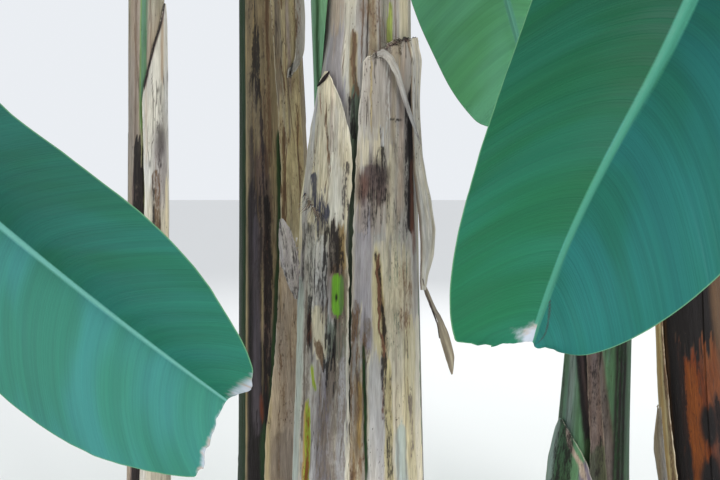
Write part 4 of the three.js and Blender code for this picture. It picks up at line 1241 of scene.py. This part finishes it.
leafTurn = 154 / 360  # of a round from each leaf to the next
petioleShare = 0.39  # half a stalk's width, as a share of the stem's throat
rollAt = 0.6
midribSteps = 80
crowns = {
    "main": {"count": 8, "facing": -9, "fan": 172, "phase": 0.93, "length": 2.15, "halfWidth": 0.265,
             "spear": 0.9,
             "own": {1: {"azimuth": 68, "rise": 66, "droop": 140, "bendAt": 0.1, "sweep": -98, "roll": -28,
                         "length": 1.6, "halfWidth": 0.205}}},
    "rear": {"count": 6, "facing": 124, "fan": 103, "phase": 0.73, "length": 1.85, "halfWidth": 0.235,
             "spear": 0.7},
    "slim": {"count": 5, "facing": 195, "fan": 80, "phase": 0.2, "length": 1.35, "halfWidth": 0.165},
    "right": {"count": 5, "facing": 57, "fan": 72, "phase": 0.38, "length": 1.65, "halfWidth": 0.215,
              "spear": 0.6},
    "far_right": {"count": 5, "facing": -18, "fan": 84, "phase": 0.95, "length": 1.6, "halfWidth": 0.22,
                  "own": {1: {"azimuth": -98, "seat": 1.64, "rise": 43.7, "droop": 105.4, "bendAt": 0.46,
                              "sweep": -87.6, "roll": 0, "fold": 6.7, "length": 1.7, "halfWidth": 0.226,
                              "wide": (1, 0.91), "tipShare": (0.09, 0.38), "taperFrom": (0.55, 0.545),
                              "forward": (0.02, 0.69)}}},
    "sucker": {"count": 4, "facing": 176, "fan": 107, "phase": 0.79, "length": 1.05, "halfWidth": 0.15,
               "own": {1: {"azimuth": -29, "seat": 0.76, "rise": 57.1, "droop": 89.7, "bendAt": 0.6,
                           "sweep": 15.6, "roll": 91.7, "fold": 19.7, "length": 1.074, "halfWidth": 0.192,
                           "wide": (1, 0.955), "tipShare": (0.26, 0.57), "forward": (0.21, 0.16)}}},
}


# The youngest leaf stands upright and the oldest hangs beside the stem.
def crownLeaves(name):
    stem, crown = stems[name], crowns[name]
    leaves = []
    for k in range(crown["count"]):
        age = 1 - k / (crown["count"] - 1)
        spiral = (leafTurn * k + crown["phase"]) % 1
        leaf = {
            "name": f"{name}_leaf_{k + 1}",
            "age": age,
            "azimuth": crown["facing"] + crown["fan"] * (2 * spiral - 1),
            "seat": stem["height"] - blend(0.3, 2.6, age) * stem["throatRadius"],
            "rise": blend(80, 52, age),
            "droop": blend(50, 104, age),
            "bendAt": 1,
            "sweep": 20 * math.cos(2.4 * k + 6 * crown["phase"]),
            "roll": 24 * math.sin(1.9 * k + 6 * crown["phase"]),
            "fold": blend(24, -8, age),
            "length": crown["length"] * blend(0.9, 1, math.sin(math.pi * min(age, 0.6))),
            "petiole": 0.2,
            "halfWidth": crown["halfWidth"],
            "tipShare": (0.45, 0.45),
            "forward": (0.3, 0.3),
            "ribHalf": petioleShare * stem["throatRadius"],
        }
        leaf.update(crown.get("own", {}).get(k + 1, {}))
        leaves.append(leaf)
    return leaves


def leafHeading(leaf, share):
    lift = np.radians(leaf["rise"] - leaf["droop"] * eased(share, 0, leaf["bendAt"]))
    turn = np.radians(leaf["azimuth"] + leaf["sweep"] * share * share)
    return np.stack([np.cos(lift) * np.cos(turn), np.cos(lift) * np.sin(turn), np.sin(lift)], axis=-1)


# Points down the midrib with the blade's side and upper face, at the given shares of its length.
def leafStations(stem, leaf, shares):
    even = np.arange(midribSteps + 1) / midribSteps
    headings = leafHeading(leaf, even)
    moves = leafHeading(leaf, even[:-1] + 0.5 / midribSteps) * leaf["length"] / midribSteps
    start = onStem(stem, leaf["seat"], leaf["azimuth"], -leaf["ribHalf"] * 0.4)
    points = start + np.vstack([np.zeros(3), np.cumsum(moves, axis=0)])
    turn = math.radians(leaf["azimuth"])
    flat = np.array([-math.sin(turn), math.cos(turn), 0.0])
    before = headings[0]
    sides = []
    for share, heading in zip(even, headings):
        axis = np.cross(before, heading)
        flat = flat + np.cross(axis, flat) + np.cross(axis, np.cross(axis, flat)) / (1 + before @ heading)
        before = heading
        roll = math.radians(leaf["roll"]) * eased(share, 0, rollAt)
        sides.append(flat * math.cos(roll) + np.cross(heading, flat) * math.sin(roll))

    def between(values):
        return np.stack([np.interp(shares, even, np.array(values)[:, k]) for k in range(3)], axis=1)

    along, side = between(headings), between(sides)
    along /= np.linalg.norm(along, axis=1, keepdims=True)
    side /= np.linalg.norm(side, axis=1, keepdims=True)
    return between(points), along, side, np.cross(along, side)


# A pair of values is for the blade's left half and its right half.
bladeLook = {
    "thickness": 0.0014,
    "flutter": 0.05,  # of the half width, at the margin
    "pleat": 0.0006,  # height of the small folds along the side veins
    "slitHalf": 0.004,
    "slitAt": (0.35, 0.94),  # where along the leaf a slit may be, and how deep into the half
    "slitDepth": (0.25, 0.85),
    "slitSag": 0.09,  # how far the blade may hang lower or higher past a slit
    "wide": (1, 1),  # as a share of the half width
    "taperFrom": (0.68, 0.68),
    "clasp": 0.7,  # how much wider the stalk is where it leaves the stem
    "calm": 1,
    "rows": 96,
    "columns": 12,
    "closeAt": (0.955, 0.955),  # where the half starts to round off to the tip
    "endShare": (0.0004, 0.0004),  # square of the width that the half keeps at the tip
    "witherFrom": (0.975, 0.975),
    "wither": (1, 1),
    "toRib": (0.6, 0.6),  # how far the half is withered beside the rib and at its margin
    "toMargin": (1, 1),
    "reach": (0, 0),  # how far the half's outer corner goes past the tip
    "creases": [],  # half, share and place across where each starts, and the same where it ends
    "crowd": 1,  # above 1 the rows draw together to the tip
    "ribTip": 0.16,
    "ribTint": np.array([0.12, 0.35, 0.25]),
    "ribSoft": 0.5,  # how far its colour runs into the blade, in rib widths
    "ribBow": (0, 0.6),  # how far the rib lies aside at most, and the share of the length from which
    # painted light and shade: how much darker or brighter the blade's colour is made along it and across it
    "paintedLight": ((1, 1, 0), (1, 1, 0)),  # brightness far back, at the tip, and by place across
    "paintedLightFrom": 0.6,
    "ragged": 0,
    "lean": (0.22, 0.22),  # how far the side veins lean to the tip, as a share of the half width
    "swell": (0, 0),  # height of broad ridges between the veins
    # painted highlight: the ridges between the veins are tinted brighter
    "ridgeHighlight": 45,  # how much brighter a metre of ridge would be
    "tops": (colour(40, 112, 78), colour(46, 118, 88)),
    "young": colour(96, 156, 80),
    "under": colour(84, 138, 104),
}


# Where wind has torn the blade along its veins: the half, the share of its length and how deep
def leafSlits(leaf, dice):
    slits = []
    for half in (0, 1):
        for _ in range(dice.integers(0, 2 + int(3 * leaf["age"]))):
            slits.append((half, dice.uniform(*leaf["slitAt"]), dice.uniform(*leaf["slitDepth"])))
    return leaf.get("slits", slits)


# Shares of the length where a leaf has a row of points, with five rows at each slit
def bladeRows(leaf, slits, gap):
    shares = 1 - (1 - np.linspace(0, 1, leaf["rows"] + 1)) ** leaf["crowd"]
    for _, at, _ in slits:
        shares = shares[np.abs(shares - at) > 2.2 * gap]
        shares = np.append(shares, at + gap * np.arange(-2, 3))
    return np.sort(shares[shares <= 1])


# A row of points runs from the left margin over the top to the right margin and back below.
# Out is 0 on the rib and 1 at the margin, sign is the side, and aside goes across the rib.
def bladeRing(columns):
    inner = np.arange(1, columns + 1) / columns
    ribSteps = np.array([1, 0.7, 0.35, 0, -0.35, -0.7, -1])
    out = np.concatenate([inner[::-1], 0 * ribSteps, inner])
    sign = np.concatenate([0 * inner + 1, np.sign(ribSteps), 0 * inner - 1])
    aside = np.concatenate([0 * inner + 1, ribSteps, 0 * inner - 1])
    under = np.concatenate([0 * out, 0 * out + 1, [0]])
    return [np.concatenate([row, row[::-1], row[:1]]) for row in (out, sign, aside)] + [under]


def bladeHalfWidth(leaf, share, k):
    base = np.sqrt(1 - (1 - np.clip(share / 0.2, 0, 1)) ** 2)
    tip = np.clip((share - leaf["taperFrom"][k]) / (1 - leaf["taperFrom"][k]), 0, 1)
    widest = leaf["halfWidth"] * leaf["wide"][k]
    return widest * base * np.sqrt(1 - (1 - leaf["tipShare"][k] ** 2) * tip**2)


# Each half's width and how far it hangs. A slit is a notch, past which the blade hangs otherwise.
def bladeHalves(leaf, slits, gap, v, inBlade, seed, dice):
    widths, sags = [], []
    for k in (0, 1):
        closing = np.clip((v - leaf["closeAt"][k]) / (1 - leaf["closeAt"][k]), 0, 1)
        width = bladeHalfWidth(leaf, inBlade, k) * np.sqrt(np.maximum(1 - closing**2, leaf["endShare"][k]))
        width = width * (1 + 0.012 * softNoise(v * leaf["length"] * 11, k * 5 + 0.5, seed))
        sag = 0.06 * softNoise(v * leaf["length"] * 1.3, k * 9 + 2.5, seed + 1)
        for which, at, depth in slits:
            if which == k:
                width = width * (1 - depth * (1 - eased(np.abs(v - at), 0, gap * 1.5)))
                sag = sag + dice.uniform(-leaf["slitSag"], leaf["slitSag"]) * eased(v, at - gap, at + gap)
        widths.append(width)
        sags.append(sag)
    return widths, sags


# The margin's flutter and the small folds along the side veins
def bladeRipple(leaf, v, out, half, width, veinPlace, seed):
    place = v * leaf["length"]
    wave = softNoise(place * 6.5, half * 7 + 1.5, seed + 2)
    wave = wave + 0.5 * softNoise(place * 16, half * 7 + 4.5, seed + 3)
    pleats = leaf["pleat"] * np.minimum(out * 4, 1) * softNoise(veinPlace * 70, half * 5 + 2.5, seed + 4)
    return leaf["flutter"] * leaf["calm"] * width * out**2 * wave + pleats


def bladeSwell(leaf, out, half, veinPlace, seed):
    broad = softNoise(veinPlace * 26, half * 3 + 0.5, seed + 6)
    broad = broad + 0.4 * softNoise(veinPlace * 61, half * 3 + 1.5, seed)
    return np.where(half == 0, *leaf["swell"]) * np.minimum(out * 5, 1) * broad


# How far each point is withered: at the tip, and round the slits
def bladeWithered(leaf, slits, gap, v, out, half, inset):
    fading = [leaf["wither"][k] * eased(v, leaf["witherFrom"][k], 1) for k in (0, 1)]
    spots = [fading[k] * blend(leaf["toRib"][k], leaf["toMargin"][k], out) for k in (0, 1)]
    withered = 0.62 * np.where(half == 0, *spots)
    for which, at, _ in slits:
        close = (1 - eased(np.abs(v - at), 0, gap * 4)) * (1 - eased(inset, 0, 0.02))
        withered = np.maximum(withered, 0.45 * close * (half == which))
    return withered


def bladeTint(leaf, green, v, out, half, under, inStalk, swell):
    halves = np.where(half[:, None] == 0, *leaf["tops"])
    top = blend(leaf["young"], halves, eased(leaf["age"], -0.1, 0.45)) * green
    tint = blend(top[None, :, :], leaf["under"], under[None, :, None] * np.ones(v.shape + (1,)))
    tint = blend(tint, hues["petiole"], (inStalk * np.ones(half.shape))[..., None])
    # Painted light and shade: each half is darker back near the stem, brighter to the tip, and changed
    # across it as given.
    tipward = np.clip((v - leaf["paintedLightFrom"]) / (1 - leaf["paintedLightFrom"]), 0, 1)
    dull, bright, outward = (np.where(half == 0, *[g[k] for g in leaf["paintedLight"]]) for k in range(3))
    tint = tint * blend(dull, bright, np.clip(0.85 * tipward + outward * out, 0, 1))[..., None]
    # Painted highlight: the blade's ridges are brighter than its hollows.
    tint = tint * (1 + leaf["ridgeHighlight"] * swell[..., None])
    for which, start, startAcross, end, endAcross in leaf["creases"]:
        route = blend(startAcross, endAcross, (v - start) / (end - start))
        line = eased(v, start - 0.004, start) * (1 - eased(np.abs(out - route), 0.004, 0.016))
        tint = blend(tint, hues["soot"], (line * (half == which))[..., None])
    return tint


def leafBlade(stemName, leaf, seed):
    dice = np.random.default_rng(seed)
    slits = leafSlits(leaf, dice)
    gap = leaf["slitHalf"] / leaf["length"]
    shares = bladeRows(leaf, slits, gap)
    points, along, side, up = leafStations(stems[stemName], leaf, shares)
    out, sign, onRib, under = bladeRing(leaf["columns"])
    half = (sign < 0).astype(int)

    v = shares[:, None]
    inBlade = np.clip((v - leaf["petiole"]) / (1 - leaf["petiole"]), 0, 1)
    inStalk = 1 - eased(inBlade, 0, 0.08)
    slender = blend(leaf["ribTip"], 1, (1 - v) ** 1.6)
    rib = leaf["ribHalf"] * slender * (1 + leaf["clasp"] * (1 - eased(v, 0, 0.07)))
    keel = np.maximum(leaf["ribHalf"] * (1 - 0.75 * v) * 0.9, 0.0045)
    widths, sags = bladeHalves(leaf, slits, gap, v, inBlade, seed, dice)
    bow, bowFrom = leaf["ribBow"]
    aside = bow * np.sin(np.pi * np.clip((v - bowFrom) / (1 - bowFrom), 0, 1) ** 1.77)
    slimmest = rib * 1.25 * eased(1.02 - v, 0, 0.06) + 0.0015
    span = np.maximum(np.where(half == 0, *widths), slimmest)
    width = np.maximum(span - aside * np.where(half == 0, 1, -1), slimmest)
    fold = np.radians(leaf["fold"]) * eased(inBlade, 0, 0.06)
    across = np.where(out > 0, sign * blend(rib, np.maximum(width * np.cos(fold), rib), out), onRib * rib)
    veinPlace = v * leaf["length"] - np.where(half == 0, *leaf["lean"]) * width * out**1.3

    # Heights over the midrib of the upper face, and of the lower one with the midrib's keel
    swell = bladeSwell(leaf, out, half, veinPlace, seed)
    top = blend(0.35 * rib, width * np.sin(fold), out)
    top = top + 0.07 * width * np.sin(np.pi * out) - 0.03 * width * out**2
    top = top + bladeRipple(leaf, v, out, half, width, veinPlace, seed) + swell
    top = top - np.where(half == 0, *sags) * width * out**1.5 + inStalk * out * rib * 0.7
    top = np.where(out > 0, top, rib * (0.1 + 0.25 * onRib**2))
    thin = leaf["thickness"] * blend(1, 2.2, inStalk)
    depth = np.where(out > 0, blend(0.35 * rib + 0.45 * keel, thin, eased(out, 0, 0.12)), 0)
    below = np.where(out > 0, top - depth, -keel * (0.45 + 0.55 * np.sqrt(np.maximum(0, 1 - onRib**2))))
    high = np.where((under > 0) & (v < 1), below, top)

    ahead = span * np.where(half == 0, *leaf["forward"]) * inBlade * out**1.5
    ahead = ahead + np.where(half == 0, *leaf["reach"]) * eased(v, 0.93, 1) * out
    ahead = ahead + leaf["ragged"] * softNoise(across * 160, 2.5, seed) * eased(v, 0.985, 1)
    place = points[:, None, :] + side[:, None, :] * (across + aside)[..., None]
    place = place + up[:, None, :] * high[..., None] + along[:, None, :] * ahead[..., None]
    place[:, :, 2] = np.maximum(place[:, :, 2], 0.002)
    place[:, -1] = place[:, 0]

    green = leaf.get("shade", dice.uniform(0.9, 1.1))
    tint = bladeTint(leaf, green, v, out, half, under, inStalk, swell)
    ribbed = np.where(out > 0, 1 - eased(out * width, 0, leaf["ribSoft"] * rib), 1)
    tint = blend(tint, leaf["ribTint"], eased(ribbed, 0.2, 0.5)[..., None])
    inset = (1 - out) * width
    withered = bladeWithered(leaf, slits, gap, v, out, half, inset)
    layers = {
        "tint": tint,
        "blade": np.stack([across, veinPlace, 0 * across + under], axis=-1),
        "zone": np.stack([ribbed, inset, withered], axis=-1),
    }
    piece = gridPiece(leaf["name"].replace("leaf", "blade"), place, layers, closed=True)
    names = [leaf["name"], f"{leaf['name']}_outer"]
    finishPiece(piece, bladeGreen, "leaf", [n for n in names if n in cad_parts], sharp=60)


# The three leaves nearest the viewer are finer than the rest.
near = {
    "sucker_leaf_1": {
        "rows": 230, "columns": 52, "slits": [], "calm": 0.35, "pleat": 0.0009, "crowd": 1.5, "shade": 1,
        "closeAt": (0.985, 0.995), "endShare": (0.8, 0.8), "ragged": 0.003, "reach": (0.015, 0.01),
        "witherFrom": (0.972, 0.99), "wither": (1.15, 1.1), "toRib": (0.5, 0.6),
        "ribTip": 0.1, "ribSoft": 0.8, "ribTint": np.array([0.14, 0.39, 0.33]),
        # painted light and shade: the blade is darker near the stem and brighter to the tip, the left
        # half's top is a darker green as shade falls on it, and the right half's is lighter and bluer as it
        # catches the sky
        "paintedLight": ((0.82, 1.42, -0.1), (0.92, 1.08, 0)), "lean": (0.75, 0.62), "swell": (0.0008, 0.0012),
        "tops": (colour(34, 99, 82), colour(54, 119, 108)),
    },
    "far_right_leaf_1": {
        "rows": 230, "columns": 60, "slits": [], "calm": 0.35, "pleat": 0.0009, "crowd": 1.5, "shade": 1,
        "closeAt": (0.985, 0.99), "endShare": (0.25, 0.3), "ragged": 0.005,
        "witherFrom": (0.99, 0.968), "wither": (0.3, 1.3), "toRib": (1, 1), "toMargin": (0, -0.55),
        "creases": [(0, 0.966, 0.03, 1, 0.28)], "ribBow": (-0.024, 0.62),
        # painted light and shade: the blade much darker near the stem and brighter to the tip
        "ribTip": 0.1, "ribSoft": 2, "ribTint": np.array([0.05, 0.22, 0.15]), "paintedLightFrom": 0.68,
        "paintedLight": ((0.6, 1.25, -0.1), (0.5, 1.25, 0.25)), "lean": (0.95, 0.3), "swell": (0.0016, 0.0006),
        "tops": (colour(30, 98, 88), colour(27, 93, 66)),
    },
    # Its under side is paler, partly the leaf's own colour and partly painted light: light shining through
    # the hanging blade.
    "main_leaf_1": {"rows": 170, "columns": 36, "slits": [], "calm": 0.5, "under": colour(92, 156, 112)},
}
for number, name in enumerate(crowns):
    for leaf in crownLeaves(name):
        leaf = {**bladeLook, **leaf, **near.get(leaf["name"], {})}
        leafBlade(name, leaf, 100 + 17 * number + int(leaf["name"][-1]))
    print("crown done:", name)


# The furled leaf in the middle of a crown is rolled up with one free edge.
def furledLeaf(name):
    stem = stems[name]
    t = np.linspace(0, 1, 91)[:, None]
    around = np.linspace(0, 1, 41)[None, :]
    height = stem["height"] + 0.0003 + crowns[name]["spear"] * t
    reach = stem["throatRadius"] * blend(0.5, 0.1, t**1.5) * (1 - 0.16 * around)
    reach = reach * np.sqrt(np.maximum(1 - eased(t, 0.9, 1) ** 2, 0.02))
    turn = 2 * np.pi * around + 2.5 * t
    x, y = stemAxis(stem, height)
    points = np.stack([x + reach * np.cos(turn), y + reach * np.sin(turn), height + 0 * turn], axis=-1)
    points[:, -1] = points[:, 0]
    none = 0 * t * around
    layers = {
        "tint": blend(bladeLook["young"], hues["petiole"], (t + none)[..., None] * 0.4),
        "blade": np.stack([around * 0.3 + none, height + around * 0.12, none], axis=-1),
        "zone": np.stack([none, 0.05 + none, none], axis=-1),
    }
    piece = gridPiece(f"{name}_furled_blade", points, layers, closed=True)
    finishPiece(piece, bladeGreen, "leaf", [f"{name}_furled_leaf"])


for name in crowns:
    if "spear" in crowns[name]:
        furledLeaf(name)
print("furled leaves done")


# Stage: a plain pale floor, soft light and the camera

stage = {
    "floorSize": 60,
    "floorColour": (0.8, 0.8, 0.79, 1),
    "floorRoughness": 0.9,
    "skyColour": (0.87, 0.9, 0.94, 1),
    "skyStrength": 0.95,
    "lights": {  # place, aim, size and power
        "key": ((2.4, -3.8, 3.0), (0.0, 0.0, 0.9), 1.6, 150),
        "fill": ((-3.4, -3.2, 1.6), (0.0, 0.0, 1.0), 3.0, 50),
        "back": ((1.5, 4.5, 4.0), (0.0, 0.0, 1.6), 3.0, 120),
    },
    "cameraPlace": (0, -1.8, 0.95),
    "cameraTilt": 86,
    "lens": 50,
}

bpy.ops.object.select_all(action="DESELECT")
bpy.ops.mesh.primitive_plane_add(size=stage["floorSize"], location=(0, 0, -0.001))
floor = bpy.context.object
floor.name = "floor"
floorMaterial, _, floorShader = newMaterial("pale_floor")
floorShader.inputs["Base Color"].default_value = stage["floorColour"]
floorShader.inputs["Roughness"].default_value = stage["floorRoughness"]
floor.data.materials.append(floorMaterial)

world = bpy.data.worlds.new("studio")
bpy.context.scene.world = world
world.use_nodes = True
world.node_tree.nodes["Background"].inputs["Color"].default_value = stage["skyColour"]
world.node_tree.nodes["Background"].inputs["Strength"].default_value = stage["skyStrength"]

for name, (place, aim, size, power) in stage["lights"].items():
    light = bpy.data.lights.new(name, "AREA")
    light.size = size
    light.energy = power
    holder = bpy.data.objects.new(name, light)
    bpy.context.collection.objects.link(holder)
    holder.location = place
    holder.rotation_euler = (Vector(aim) - Vector(place)).to_track_quat("-Z", "Y").to_euler()

camera = bpy.data.objects.new("camera", bpy.data.cameras.new("camera"))
bpy.context.collection.objects.link(camera)
camera.location = stage["cameraPlace"]
camera.rotation_euler = (math.radians(stage["cameraTilt"]), 0, 0)
camera.data.lens = stage["lens"]
camera.data.sensor_width = 36
bpy.context.scene.camera = camera
bpy.context.scene.view_settings.view_transform = "Standard"
print("stage set")
